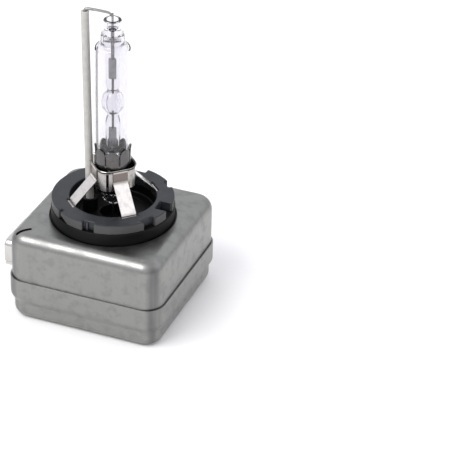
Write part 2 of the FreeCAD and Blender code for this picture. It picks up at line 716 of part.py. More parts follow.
def build_clamp_band():
    """A rounded square band: open beside the return lead, with a slit and a folded ear."""
    body = new_body("clamp_band")
    turn = Size.of(45)
    outer = sketch_on(body, "XY_Plane", D.band_bottom, turn)
    draw_rounded(outer, band_half, band_half, D.band_corner)
    pad(body, outer, D.band_top - D.band_bottom)
    ear = sketch_on(body, "XY_Plane", D.band_bottom + 1.0, Size.of(90))
    corner_reach = band_half * math.sqrt(2) - D.band_corner * (math.sqrt(2) - 1)
    draw_rounded(ear, D.ear_reach, D.ear_reach * 0.6, D.ear_reach * 0.5, corner_reach)
    pad(body, ear, D.band_top - D.band_bottom - 1.5)
    bore = sketch_on(body, "XY_Plane", D.band_bottom - 1, turn)
    draw_rounded(bore, band_half - D.band_wall, band_half - D.band_wall,
                 D.band_corner - D.band_wall)
    pocket(body, bore, D.band_top - D.band_bottom + 2)
    cut_slot(body, D.crown_inner, corner_reach + D.ear_reach - D.ear_wall, Size.of(0.8),
             D.band_bottom - 1, D.band_top + 1, Size.of(90))
    cut_slot(body, D.crown_inner, corner_reach + 1, D.band_slit,
             D.band_bottom - 1, D.band_top - 0.8, Size.of(-80))
    cut_slot(body, band_half + 0.01, corner_reach + 1, D.band_corner * 2,
             D.band_bottom - 1, D.band_top + 1, Size.of(180))
    return body


# ---------------------------------------------------------------------------
# Lamp vessel, electrodes and leads
# ---------------------------------------------------------------------------


def build_outer_bulb():
    inner = D.bulb_radius - D.bulb_wall
    foot = D.stem_radius + D.fit_gap
    collar = D.stub_radius + D.fit_gap
    return revolved("outer_bulb", [
        (foot, D.bulb_bottom), (D.bulb_radius - 0.7, D.bulb_bottom),
        (D.bulb_radius - 0.2, D.bulb_bottom + 0.25), (D.bulb_radius, D.bulb_bottom + 0.8),
        (D.bulb_radius, D.bulb_shoulder - 0.4), (D.bulb_radius - 0.3, D.bulb_shoulder + 0.4),
        (D.bulb_radius - 0.9, D.bulb_shoulder + 1.0), (D.collar_radius, D.collar_bottom - 0.3),
        (D.collar_radius, D.collar_top), (collar, D.collar_top),
        (collar, D.collar_bottom - 0.9), (inner - 0.5, D.bulb_shoulder + 0.2),
        (inner, D.bulb_shoulder - 0.6), (inner, D.bulb_bottom + 2.2),
        (inner - 0.5, D.bulb_bottom + 1.4), (foot, D.bulb_bottom + 1.2)])


def oval_outline(radius, half, neck, steps):
    """Points of half an oval about the arc's height, from bottom to top."""
    start = math.asin(neck.value / radius.value)
    points = []
    for step in range(steps + 1):
        turn = start + (math.pi - 2 * start) * step / steps
        points.append((radius * math.sin(turn), D.arc_height - half * math.cos(turn)))
    return points


def build_arc_tube():
    """The inner vessel: two stems, a pinch at each foil and the arc chamber."""
    body = new_body("arc_tube")
    chamber = oval_outline(D.chamber_radius, D.chamber_half, D.chamber_neck, 12)
    outline = [(ZERO, D.stem_bottom), (D.stem_radius, D.stem_bottom),
               (D.stem_radius, D.stem_bore_top), (D.pinch_radius, D.foil_low_start),
               (D.pinch_radius, D.foil_low_end + 1.2)]
    outline += chamber
    outline += [(D.pinch_radius, D.foil_high_start - 1.4), (D.pinch_radius, D.foil_high_end + 0.8),
                (D.stub_radius, D.foil_high_end + 2.4), (D.stub_radius, D.stub_top),
                (ZERO, D.stub_top)]
    side = sketch_on(body, "XZ_Plane")
    draw_polygon(side, outline)
    spin(body, side)
    wire = D.lead_radius + D.fit_gap
    tip = D.electrode_radius + D.fit_gap
    void = oval_outline(D.void_radius, D.void_half, D.void_neck, 10)
    hollow_side = sketch_on(body, "XZ_Plane")
    bore = [(ZERO, D.stem_bottom - 1), (D.stem_bore, D.stem_bottom - 1),
            (D.stem_bore, D.stem_bore_top - 0.8), (wire, D.stem_bore_top + 0.4),
            (wire, D.foil_low_start), (tip, D.foil_low_start)]
    bore += void
    bore += [(tip, D.foil_high_end), (wire, D.foil_high_end), (wire, D.stub_top - 3.2),
             (D.stub_radius - 0.9, D.stub_top - 2.0), (D.stub_radius - 0.9, D.stub_top + 1),
             (ZERO, D.stub_top + 1)]
    draw_polygon(hollow_side, bore)
    spin(body, hollow_side, "PartDesign::Groove")
    for low, high in ((D.foil_low_start, D.foil_low_end), (D.foil_high_start, D.foil_high_end)):
        slot = sketch_on(body, "XY_Plane", low - 0.05)
        half_width = D.foil_width / 2 + 0.05
        half_thick = D.foil_thick / 2 + D.fit_gap
        draw_rectangle(slot, -half_width, half_width, -half_thick, half_thick)
        pocket(body, slot, high - low + 0.1)
    return body


def build_foil(label, low, high):
    half_width, half_thick = D.foil_width / 2, D.foil_thick / 2
    return block(label, -half_width, half_width, -half_thick, half_thick, low, high)


def build_leads():
    """Foils, electrodes and the wires that reach them."""
    build_foil("foil_lower", D.foil_low_start, D.foil_low_end)
    build_foil("foil_upper", D.foil_high_start, D.foil_high_end)
    low_tip = D.arc_height - D.arc_gap / 2
    high_tip = D.arc_height + D.arc_gap / 2
    tube("electrode_lower", D.electrode_radius, None, D.foil_low_end, low_tip)
    tube("electrode_upper", D.electrode_radius, None, high_tip, D.foil_high_start)
    tube("lead_lower", D.lead_radius, None, D.terminal_bottom + 1, D.foil_low_start)
    tube("lead_upper", D.lead_radius, None, D.foil_high_end,
         D.wire_top - D.wire_radius * 2)


def rod_reach(height):
    """Distance of the return lead's centre line from the lamp axis at one height."""
    return D.rod_low_reach + rod_slope * (height - D.rod_bottom)


def build_ceramic_sleeve():
    """The insulating tube on the return lead; it leans out slightly."""
    body = new_body("ceramic_sleeve")
    sketch = sketch_on(body, "XY_Plane")
    draw_circle(sketch, D.rod_radius)
    draw_circle(sketch, D.rod_bore)
    pad(body, sketch, D.rod_top - D.rod_bottom)
    lean = Rotation(Vector(0, 1, 0), math.degrees(math.atan(rod_slope.value)))
    around = Rotation(Z_AXIS, D.rod_angle.value)
    foot = around.multVec(Vector(D.rod_low_reach.value, 0, D.rod_bottom.value))
    body.Placement = Placement(foot, around * lean)
    return body


def build_return_wire():
    """The stiff return lead: up through the sleeve, then across to the tip."""
    body = new_body("return_wire")
    high = D.wire_top - D.wire_radius
    low_x, top_x = rod_reach(D.wire_bottom), rod_reach(high)
    path = sketch_on(body, "XZ_Plane")
    centre_x, centre_z = top_x.value - D.wire_bend.value, high.value - D.wire_bend.value
    lean = math.atan(rod_slope.value)
    joint = (centre_x + D.wire_bend.value * math.cos(lean),
             centre_z - D.wire_bend.value * math.sin(lean))
    path.addGeometry(Part.LineSegment(Vector(low_x.value, D.wire_bottom.value, 0),
                                      Vector(joint[0], joint[1], 0)), False)
    bend = Part.Circle(Vector(centre_x, centre_z, 0), Z_AXIS, D.wire_bend.value)
    path.addGeometry(Part.ArcOfCircle(bend, -lean, math.pi / 2), False)
    path.addGeometry(Part.LineSegment(Vector(centre_x, high.value, 0),
                                      Vector(-D.wire_end.value, high.value, 0)), False)
    path.addConstraint(Sketcher.Constraint("Tangent", 0, 2, 1, 1))
    path.addConstraint(Sketcher.Constraint("Tangent", 1, 2, 2, 1))
    path.addConstraint(Sketcher.Constraint("Horizontal", 2))
    datum(path, Sketcher.Constraint("Radius", 1, D.wire_bend.value), D.wire_bend)
    place_point(path, 0, 1, low_x, D.wire_bottom)
    place_point(path, 2, 2, -D.wire_end, high)
    centre = top_x - D.wire_bend
    datum(path, Sketcher.Constraint("DistanceX", -1, 1, 1, 3, centre.value), centre)
    section = sketch_on(body, "XY_Plane", D.wire_bottom)
    draw_circle(section, D.wire_radius, low_x)
    doc.recompute()
    pipe = body.newObject("PartDesign::AdditivePipe", "Pipe")
    pipe.Profile = section
    pipe.Spine = (path, ["Edge1", "Edge2", "Edge3"])
    doc.recompute()
    return turned(body, D.rod_angle.value)


# ---------------------------------------------------------------------------
# Build, check and write
# ---------------------------------------------------------------------------

build_front_shell()
build_rear_shell()
build_connector_shield()
build_connector_insert()
for pin in range(4):
    build_connector_pin(pin)
build_igniter_tray()
build_circuit_board()
build_transformer()
build_spark_gap()
build_board_parts()
build_terminals()
build_cap_base()
build_cap_ring()
for number, heading in enumerate(STRAP_ANGLES, start=1):
    build_strap_anchor(number, heading)
    build_support_strap(number, heading)
build_clamp_crown()
build_clamp_band()
build_outer_bulb()
build_arc_tube()
build_leads()
build_ceramic_sleeve()
build_return_wire()
doc.recompute()

HELPER_ENDINGS = ("_outside", "_inside")
sub_parts = [item for item in doc.Objects
             if item.TypeId in ("PartDesign::Body", "Part::Cut")
             and not item.Label.endswith(HELPER_ENDINGS)]
for item in doc.Objects:
    if "Invalid" in item.State or "Error" in item.State:
        raise ValueError("%s failed: %s" % (item.Label, item.State))
os.makedirs("parts", exist_ok=True)
for item in sub_parts:
    shape = item.Shape
    if shape.isNull() or not shape.isValid() or len(shape.Solids) != 1:
        raise ValueError("%s has no valid single solid" % item.Label)
    shape.exportStep("parts/%s.step" % item.Label)
    box = shape.BoundBox
    print("%-24s %9.2f mm3  x %6.1f %6.1f  y %6.1f %6.1f  z %6.1f %6.1f" % (
        item.Label, shape.Volume, box.XMin, box.XMax, box.YMin, box.YMax, box.ZMin, box.ZMax))
print(len(sub_parts), "sub-parts")
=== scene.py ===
"""Looks of a gas-discharge headlight bulb and its igniter can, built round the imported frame.

Sizes are in millimetres where a name says so or a class holds them, and every mesh is in metres.
"""

import logging
import math
from collections.abc import Callable, Iterable, Sequence
from dataclasses import dataclass
from enum import Enum
from typing import Any

import bmesh
import bpy
from mathutils import Matrix, Vector, geometry, noise


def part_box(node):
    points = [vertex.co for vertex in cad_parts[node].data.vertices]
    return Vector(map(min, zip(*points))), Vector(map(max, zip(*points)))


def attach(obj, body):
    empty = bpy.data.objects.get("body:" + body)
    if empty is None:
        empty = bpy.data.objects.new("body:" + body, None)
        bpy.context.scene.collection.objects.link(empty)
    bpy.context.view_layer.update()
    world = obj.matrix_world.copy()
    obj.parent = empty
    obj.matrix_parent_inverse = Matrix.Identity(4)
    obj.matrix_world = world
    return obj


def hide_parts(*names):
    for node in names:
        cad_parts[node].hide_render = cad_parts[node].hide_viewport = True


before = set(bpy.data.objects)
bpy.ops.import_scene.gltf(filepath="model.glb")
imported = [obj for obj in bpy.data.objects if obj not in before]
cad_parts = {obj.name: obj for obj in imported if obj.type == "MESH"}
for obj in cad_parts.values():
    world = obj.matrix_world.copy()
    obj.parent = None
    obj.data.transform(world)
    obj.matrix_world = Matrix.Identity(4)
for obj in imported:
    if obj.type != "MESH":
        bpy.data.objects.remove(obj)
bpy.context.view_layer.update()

MM = 0.001
STRAP_ANGLES = (45.0, 135.0, 225.0, 315.0)

log = logging.getLogger("headlight_bulb")

Colour = tuple[float, float, float, float]
Pair = tuple[float, float]


# ---------------------------------------------------------------------------
# Node trees
# ---------------------------------------------------------------------------


class Value:
    """A node's output that takes Python's arithmetic."""

    def __init__(self, graph: "Graph", socket: bpy.types.NodeSocket) -> None:
        """Keeps the graph that new nodes go to, and the socket."""
        self.graph = graph
        self.socket = socket

    def _math(self, operation: str, first: Any, second: Any) -> "Value":
        """Adds a Math node.

        Args:
            operation: Blender's name of the operation.
            first: A Value or a number.
            second: A Value or a number.

        Returns:
            The node's result.
        """
        return self.graph.node("ShaderNodeMath", {"operation": operation}, {0: first, 1: second})

    def __add__(self, other: Any) -> "Value":
        """Adds."""
        return self._math("ADD", self, other)

    __radd__ = __add__

    def __sub__(self, other: Any) -> "Value":
        """Subtracts."""
        return self._math("SUBTRACT", self, other)

    def __rsub__(self, other: Any) -> "Value":
        """Subtracts from a number, so that 1 - mask works."""
        return self._math("SUBTRACT", other, self)

    def __mul__(self, other: Any) -> "Value":
        """Multiplies."""
        return self._math("MULTIPLY", self, other)

    __rmul__ = __mul__

    def above(self, edge: float, width: float) -> "Value":
        """A mask that rises from 0 to 1 as the value passes an edge.

        Args:
            edge: The value at the middle of the rise.
            width: How far the rise takes.

        Returns:
            The mask.
        """
        return self.graph.node(
            "ShaderNodeMapRange", {"interpolation_type": "SMOOTHSTEP"},
            {"Value": self, "From Min": edge - width / 2, "From Max": edge + width / 2})


class Graph:
    """Builds the nodes of one tree."""

    def __init__(self, tree: bpy.types.NodeTree) -> None:
        """Takes an empty or a default tree and clears it."""
        self.tree = tree
        tree.nodes.clear()

    def node(self, kind: str, settings: dict[str, Any] | None = None,
             inputs: dict[Any, Any] | None = None, output: int | str = 0) -> Value:
        """Adds a node.

        Args:
            kind: The node's type.
            settings: Its properties, set first. "stops" gives a ramp's places and colours.
            inputs: Values, links or objects for its sockets, by name or number.
            output: The output that the caller wants.

        Returns:
            That output, or the node's own wrapper if it has none.
        """
        made = self.tree.nodes.new(kind)
        for name, value in (settings or {}).items():
            if name == "stops":
                self._stops(made.color_ramp, value)
            else:
                setattr(made, name, value)
        for key, value in (inputs or {}).items():
            if isinstance(value, Value):
                self.tree.links.new(value.socket, made.inputs[key])
            else:
                made.inputs[key].default_value = value
        return Value(self, made.outputs[output] if len(made.outputs) else None)

    @staticmethod
    def _stops(ramp: bpy.types.ColorRamp, stops: Sequence[tuple[float, Colour]]) -> None:
        """Sets a colour ramp's stops."""
        while len(ramp.elements) < len(stops):
            ramp.elements.new(0.5)
        for element, (place, colour) in zip(ramp.elements, stops):
            element.position = place
            element.color = colour

    def parts(self, place: Value) -> tuple[Value, Value, Value]:
        """The three coordinates of a vector.

        Args:
            place: The vector.

        Returns:
            Its X, Y and Z.
        """
        made = self.node("ShaderNodeSeparateXYZ", {}, {"Vector": place}, output="X")
        outputs = made.socket.node.outputs
        return tuple(Value(self, outputs[axis]) for axis in "XYZ")

    def noise(self, place: Value, size_mm: float, detail: float = 3.0) -> Value:
        """Noise whose patches are about a size across.

        Args:
            place: The coordinates it reads.
            size_mm: The patch size in millimetres.
            detail: How many finer octaves it has.

        Returns:
            The noise, around 0.5.
        """
        return self.node("ShaderNodeTexNoise", {}, {
            "Vector": place, "Scale": 1 / (size_mm * MM), "Detail": detail, "Roughness": 0.6})

    def blend(self, factor: Any, first: Any, second: Any) -> Value:
        """Mixes two colours.

        Args:
            factor: 0 for the first, 1 for the second.
            first: A colour or a Value.
            second: A colour or a Value.

        Returns:
            The mixed colour.
        """
        return self.node("ShaderNodeMix", {"data_type": "RGBA", "clamp_factor": True},
                         {0: factor, 6: first, 7: second}, output=2)


# ---------------------------------------------------------------------------
# Finishes
# ---------------------------------------------------------------------------


class Grain(Enum):
    """Which way a surface's fine marks run, as the stretch of its pattern."""

    EVEN = (1.0, 1.0, 1.0)
    UPRIGHT = (1.0, 1.0, 0.05)
    ALONG_X = (0.05, 1.0, 1.0)
    ALONG_Y = (1.0, 0.05, 1.0)


def grey(level: float, warm: float = 0.0) -> Colour:
    """A near-neutral colour, warmer than grey by a share of its level."""
    return (level * (1 + warm), level, level * (1 - warm), 1.0)


@dataclass(frozen=True)
class Finish:
    """One material: its colours, gloss, grain and the marks that it carries."""

    name: str
    colour: Colour
    shade: Colour
    metallic: float = 0.0
    smooth: float = 0.3
    rough: float = 0.5
    grain: Grain = Grain.EVEN
    grain_mm: float = 0.25
    cloud_mm: float = 5.0
    relief_mm: float = 0.01
    specular: float = 0.5

    def build(self) -> bpy.types.Material:
        """Makes the material once, and gives it again if asked again."""
        label = f"{self.name}_finish"
        known = bpy.data.materials.get(label)
        if known:
            return known
        material = bpy.data.materials.new(label)
        material.use_nodes = True
        graph = Graph(material.node_tree)
        place = graph.node("ShaderNodeTexCoord", output="Object")
        stretched = graph.node("ShaderNodeMapping", {}, {"Vector": place,
                                                         "Scale": self.grain.value})
        shader = self.surface(graph, place, stretched)
        graph.node("ShaderNodeOutputMaterial", {}, {"Surface": shader})
        return material

    def surface(self, graph: Graph, place: Value, stretched: Value) -> Value:
        """Builds the shader.

        Args:
            graph: The material's graph.
            place: Object coordinates.
            stretched: The same, stretched along the grain.

        Returns:
            The shader.
        """
        fine = graph.noise(stretched, self.grain_mm, 4.0)
        cloud = graph.noise(place, self.cloud_mm)
        patch = cloud.above(0.5, 0.35)
        colour = graph.blend(patch * 0.7 + fine * 0.3, self.colour, self.shade)
        colour = self.marked(graph, place, fine, colour)
        rough = self.smooth + (self.rough - self.smooth) * (fine * 0.5 + patch * 0.5)
        bump = graph.node("ShaderNodeBump", {}, {"Strength": 1.0, "Height": fine,
                                                 "Distance": self.relief_mm * MM})
        return graph.node("ShaderNodeBsdfPrincipled", {}, {
            "Base Color": colour, "Roughness": rough, "Metallic": self.metallic,
            "Specular IOR Level": self.specular, "Normal": bump})

    def marked(self, graph: Graph, place: Value, fine: Value, colour: Value) -> Value:
        """The colour with the marks of one place on it; none here.

        Args:
            graph: The material's graph.
            place: Object coordinates.
            fine: The finest pattern that the marks may follow.
            colour: The colour without them.

        Returns:
            The colour.
        """
        return colour


@dataclass(frozen=True)
class SheetMetal(Finish):
    """Drawn sheet metal: grain, draw marks on the walls, dull stains and fine scratches."""

    stain: Colour = grey(0.2)
    scratch_mm: float = 0.5

    def surface(self, graph: Graph, place: Value, stretched: Value) -> Value:
        """Builds the shader; the arguments and result are as in Finish."""
        fine = graph.noise(stretched, self.grain_mm, 5.0)
        draw = graph.noise(stretched, self.grain_mm * 9, 2.0)
        cloud = graph.noise(place, self.cloud_mm, 5.0)
        speck = graph.noise(place, self.cloud_mm * 0.18, 4.0).above(0.66, 0.1)
        stains = cloud.above(0.56, 0.2)
        lines = graph.noise(stretched, self.scratch_mm, 0.0).above(0.68, 0.06)
        tone = graph.blend(fine * 0.55 + draw * 0.45, self.shade, self.colour)
        tone = graph.blend(stains * 0.35 + speck * 0.25, tone, self.stain)
        tone = self.marked(graph, place, draw, tone)
        rough = self.smooth + (self.rough - self.smooth) * (fine * 0.4 + draw * 0.3
                                                            + stains * 0.5)
        height = fine + lines * -0.5 + draw * 1.5 + cloud * 2.0
        bump = graph.node("ShaderNodeBump", {}, {"Strength": 1.0, "Height": height,
                                                 "Distance": self.relief_mm * MM})
        return graph.node("ShaderNodeBsdfPrincipled", {}, {
            "Base Color": tone, "Roughness": rough, "Metallic": self.metallic, "Normal": bump})


@dataclass(frozen=True)
class CornerReflectionSheet(SheetMetal):
    """Sheet whose upright corners carry a painted dark reflection, laid in streaks along the grain.
    """

    # painted dark reflection: the colour that the upright corners turn towards
    painted_corner_reflection: Colour = grey(0.15)
    corner_mm: Pair = (18.6, 18.1)
    fade_mm: float = 2.0
    least: float = 0.35
    swing: float = 0.6

    def marked(self, graph: Graph, place: Value, fine: Value, colour: Value) -> Value:
        """The colour, with the painted dark reflection down the corners; the arguments and result
        are as in Finish.
        """
        x, y, _ = graph.parts(place)
        in_x, in_y = (square.above((mm * MM) ** 2, self.fade_mm * MM * 2 * mm * MM)
                      for square, mm in zip((x * x, y * y), self.corner_mm))
        # the painted dark reflection is broken into streaks along the grain
        reflection_streaks = fine.above(0.47, 0.3)
        return graph.blend(in_x * in_y * (reflection_streaks * self.swing + self.least), colour, self.painted_corner_reflection)


@dataclass(frozen=True)
class LipShadedSheet(SheetMetal):
    """Sheet with a painted dark brown shade in a band between two heights, where it runs under the
    clamp band's lip.
    """

    # painted shade under the clamp band's lip, and the heights that it lies between
    painted_lip_shade: Colour = (0.10, 0.075, 0.06, 1.0)
    lip_shade_mm: Pair = (37.5, 40.3)
    fade_mm: float = 0.7
    strength: float = 0.85

    def marked(self, graph: Graph, place: Value, fine: Value, colour: Value) -> Value:
        """The colour, with the painted shade in the band; the arguments and result are as in
        Finish.
        """
        z = graph.parts(place)[2]
        low, high = (z.above(mm * MM, self.fade_mm * MM) for mm in self.lip_shade_mm)
        return graph.blend(low * (1 - high) * self.strength, colour, self.painted_lip_shade)


@dataclass(frozen=True)
class SideLitPlastic(Finish):
    """Moulded plastic whose outer side below its top edge carries painted light, lighter than the
    top.
    """

    # painted light: the colour of the ring's outer side below its top edge
    rim: Colour = grey(0.05)
    rim_mm: Pair = (15.3, 30.75)
    fade_mm: Pair = (0.15, 0.15)

    def marked(self, graph: Graph, place: Value, fine: Value, colour: Value) -> Value:
        """The colour, with painted light round the outer side; the arguments and result are as in
        Finish.
        """
        x, y, z = graph.parts(place)
        reach, high = (mm * MM for mm in self.rim_mm)
        outside = (x * x + y * y).above(reach ** 2, self.fade_mm[0] * MM * 2 * reach)
        return graph.blend(outside * (1 - z.above(high, self.fade_mm[1] * MM)), colour, self.rim)


@dataclass(frozen=True)
class Glass(Finish):
    """Clear fused silica with faint draw lines."""

    ior: float = 1.458

    def surface(self, graph: Graph, place: Value, stretched: Value) -> Value:
        """Builds the shader; the arguments and result are as in Finish."""
        lines = graph.noise(stretched, self.grain_mm, 2.0)
        cloud = graph.noise(place, self.cloud_mm)
        colour = graph.blend(cloud.above(0.55, 0.4), self.colour, self.shade)
        rough = self.smooth + (self.rough - self.smooth) * cloud
        bump = graph.node("ShaderNodeBump", {}, {"Strength": 1.0, "Height": lines,
                                                 "Distance": self.relief_mm * MM})
        return graph.node("ShaderNodeBsdfPrincipled", {}, {
            "Base Color": colour, "Roughness": rough, "IOR": self.ior,
            "Transmission Weight": 1.0, "Normal": bump})


# the can's steel: its upright corners are painted darker, a painted dark reflection
CAN_STEEL = CornerReflectionSheet("can_steel", (0.315, 0.319, 0.302, 1.0), (0.24, 0.243, 0.231, 1.0), 1.0,
                       0.28, 0.44, Grain.UPRIGHT, 0.28, 3.0, 0.006, stain=grey(0.19))
SHIELD_NICKEL = SheetMetal("shield_nickel", grey(0.64, 0.02), grey(0.54, 0.03), 1.0, 0.08, 0.2,
                           Grain.ALONG_X, 0.3, 4.0, 0.003, stain=grey(0.5, 0.06))
BLACK_PLASTIC = Finish("black_plastic", grey(0.003, -0.05), grey(0.005), 0.0, 0.3, 0.5,
                       grain_mm=0.12, relief_mm=0.008, specular=0.14)
# the ring's outer side is painted lighter than its top, as painted light
RING_PLASTIC = SideLitPlastic("ring_plastic", (0.010, 0.012, 0.016, 1.0),
                             (0.017, 0.019, 0.023, 1.0), 0.0, 0.36, 0.56, grain_mm=0.16,
                             cloud_mm=3.0, relief_mm=0.012, specular=0.5)
PIN_TIN = Finish("pin_tin", grey(0.75, 0.02), grey(0.6), 1.0, 0.15, 0.3, Grain.ALONG_X)
QUARTZ = Glass("quartz", (0.90, 0.895, 0.915, 1.0), (0.885, 0.88, 0.905, 1.0),
               smooth=0.0, rough=0.0, grain=Grain.UPRIGHT, grain_mm=0.9, relief_mm=0.0008)
SLEEVE_CERAMIC = Finish("sleeve_ceramic", (0.49, 0.48, 0.45, 1.0), (0.42, 0.41, 0.385, 1.0),
                        0.0, 0.38, 0.6, Grain.UPRIGHT, 0.2, 2.2, 0.006)
SPRING_STEEL = SheetMetal("spring_steel", grey(0.52, 0.03), grey(0.36, 0.05), 1.0, 0.16, 0.3,
                          Grain.UPRIGHT, 0.12, 1.8, 0.003, stain=(0.20, 0.155, 0.12, 1.0))
# a lighter copy of the spring steel: the straps' colour is lifted as a painted highlight, with
# painted shade under the band's lip
HIGHLIGHT_STRAP_STEEL = LipShadedSheet("strap_steel", grey(0.78, 0.03), grey(0.66, 0.04), 1.0, 0.16, 0.3,
                          Grain.UPRIGHT, 0.12, 1.8, 0.003, stain=(0.52, 0.48, 0.45, 1.0))
CROWN_STEEL = SheetMetal("crown_steel", grey(0.17, 0.01), grey(0.08, 0.03), 1.0, 0.18, 0.34,
                         Grain.UPRIGHT, 0.15, 1.5, 0.003, stain=(0.12, 0.10, 0.09, 1.0))
LEAD_NICKEL = Finish("lead_nickel", grey(0.38, 0.02), grey(0.27, 0.03), 1.0, 0.22, 0.38,
                     Grain.UPRIGHT, 0.1, 1.2, 0.002)
MOLYBDENUM = Finish("molybdenum", grey(0.34, -0.01), grey(0.24), 1.0, 0.3, 0.48,
                    Grain.UPRIGHT, 0.08, 1.0, 0.003)
TUNGSTEN = Finish("tungsten", grey(0.20), grey(0.13), 1.0, 0.25, 0.45, Grain.UPRIGHT, 0.06,
                  0.8, 0.002)
BOARD_LAMINATE = Finish("board_laminate", (0.02, 0.12, 0.05, 1.0), (0.015, 0.085, 0.04, 1.0),
                        0.0, 0.3, 0.5, grain_mm=0.4, cloud_mm=4.0, relief_mm=0.01)
FERRITE = Finish("ferrite", grey(0.035), grey(0.022), 0.0, 0.4, 0.6, grain_mm=0.15,
                 relief_mm=0.01)
SPOOL_PLASTIC = Finish("spool_plastic", (0.55, 0.50, 0.38, 1.0), (0.46, 0.41, 0.30, 1.0), 0.0,
                       0.35, 0.5, grain_mm=0.3)
WINDING_COPPER = Finish("winding_copper", (0.62, 0.24, 0.09, 1.0), (0.42, 0.14, 0.05, 1.0), 0.9,
                        0.2, 0.34, grain_mm=0.1, relief_mm=0.002)
GAP_CERAMIC = Finish("gap_ceramic", grey(0.7, 0.02), grey(0.6, 0.04), 0.0, 0.3, 0.5)
GAP_METAL = Finish("gap_metal", grey(0.6), grey(0.45), 1.0, 0.2, 0.35, Grain.ALONG_Y)
CAPACITOR_CASE = Finish("capacitor_case", (0.05, 0.09, 0.25, 1.0), (0.04, 0.07, 0.18, 1.0), 0.0,
                        0.3, 0.45, grain_mm=0.3)
RESISTOR_COAT = Finish("resistor_coat", (0.45, 0.33, 0.19, 1.0), (0.36, 0.26, 0.14, 1.0), 0.0,
                       0.3, 0.5)
CHOKE_CASE = Finish("choke_case", grey(0.03), grey(0.05), 0.0, 0.3, 0.5)
TERMINAL_BRASS = Finish("terminal_brass", (0.66, 0.46, 0.18, 1.0), (0.5, 0.33, 0.12, 1.0), 1.0,
                        0.2, 0.36, Grain.UPRIGHT, 0.15)


# ---------------------------------------------------------------------------
# Mesh tools
# ---------------------------------------------------------------------------


def arc(centre: Pair, radius: float, start: float, stop: float, steps: int) -> list[Pair]:
    """Points along an arc.

    Args:
        centre: The arc's centre.
        radius: Its radius.
        start: The first angle, in degrees.
        stop: The last angle, in degrees.
        steps: How many pieces the arc is divided into.

    Returns:
        The points, both ends included.
    """
    turns = [math.radians(start + (stop - start) * k / steps) for k in range(steps + 1)]
    return [(centre[0] + radius * math.cos(t), centre[1] + radius * math.sin(t)) for t in turns]


def spread(first: float, last: float, steps: int) -> list[float]:
    """Numbers at even steps from first to last, both included."""
    return [first + (last - first) * k / steps for k in range(steps + 1)]


def soft_step(value: float, edge: float, width: float) -> float:
    """Rises smoothly from 0 to 1 as value passes edge, over a width."""
    share = min(1.0, max(0.0, (value - edge) / width + 0.5))
    return share * share * (3 - 2 * share)


def pad_mask(value: float, low: float, high: float, width: float) -> float:
    """Is 1 between low and high and 0 outside, with soft edges."""
    return soft_step(value, low, width) * (1 - soft_step(value, high, width))


def rounded_box(half_x: float, half_y: float, radius: float, per_corner: int = 12,
                per_side: int = 1, centre: Pair = (0.0, 0.0)) -> list[Pair]:
    """Outline of a rounded rectangle, counter-clockwise from the +X side's upper corner.

    Args:
        half_x: Half its width.
        half_y: Half its depth.
        radius: Its corner radius.
        per_corner: How many pieces each corner has.
        per_side: How many pieces each side has.
        centre: Its centre.

    Returns:
        The points, as many for any size.
    """
    x, y = half_x - radius, half_y - radius
    points: list[Pair] = []
    for quarter, (cx, cy) in enumerate(((x, y), (-x, y), (-x, -y), (x, -y))):
        corner = arc((cx, cy), radius, 90.0 * quarter, 90.0 * quarter + 90, per_corner)
        if points:
            points += between(points[-1], corner[0], per_side)
        points += corner
    points += between(points[-1], points[0], per_side)
    return [(centre[0] + px, centre[1] + py) for px, py in points]


def between(first: Pair, last: Pair, steps: int) -> list[Pair]:
    """Points that divide a line into steps, without its ends."""
    return [(first[0] + (last[0] - first[0]) * k / steps,
             first[1] + (last[1] - first[1]) * k / steps) for k in range(1, steps)]


def soften(corners: Sequence[tuple[float, float, float]], steps: int = 3) -> list[Pair]:
    """Rounds the corners of an outline.

    Args:
        corners: Each corner's place and its radius, 0 for a point that stays as it is.
        steps: How many pieces a rounded corner has.

    Returns:
        The rounded outline.
    """
    made: list[Pair] = []
    count = len(corners)
    for k, (x, y, radius) in enumerate(corners):
        if radius <= 0:
            made.append((x, y))
            continue
        here = Vector((x, y))
        back = Vector(corners[k - 1][:2]) - here
        ahead = Vector(corners[(k + 1) % count][:2]) - here
        reach = min(radius, back.length * 0.45, ahead.length * 0.45)
        start, stop = here + back.normalized() * reach, here + ahead.normalized() * reach
        for share in spread(0.0, 1.0, steps):
            bent = start * (1 - share) ** 2 + here * 2 * share * (1 - share) + stop * share ** 2
            made.append((bent.x, bent.y))
    return made


def inset(outline: Sequence[Pair], distance: float) -> list[Pair]:
    """Moves every edge of a closed outline to its left by a distance.

    Args:
        outline: The outline, counter-clockwise.
        distance: How far inwards it moves.

    Returns:
        The smaller outline.
    """
    made = []
    for k, point in enumerate(outline):
        here = Vector(point)
        before = (here - Vector(outline[k - 1])).normalized()
        after = (Vector(outline[(k + 1) % len(outline)]) - here).normalized()
        first, second = Vector((-before.y, before.x)), Vector((-after.y, after.x))
        moved = here + (first + second) * (distance / max(0.4, 1 + first.dot(second)))
        made.append((moved.x, moved.y))
    return made


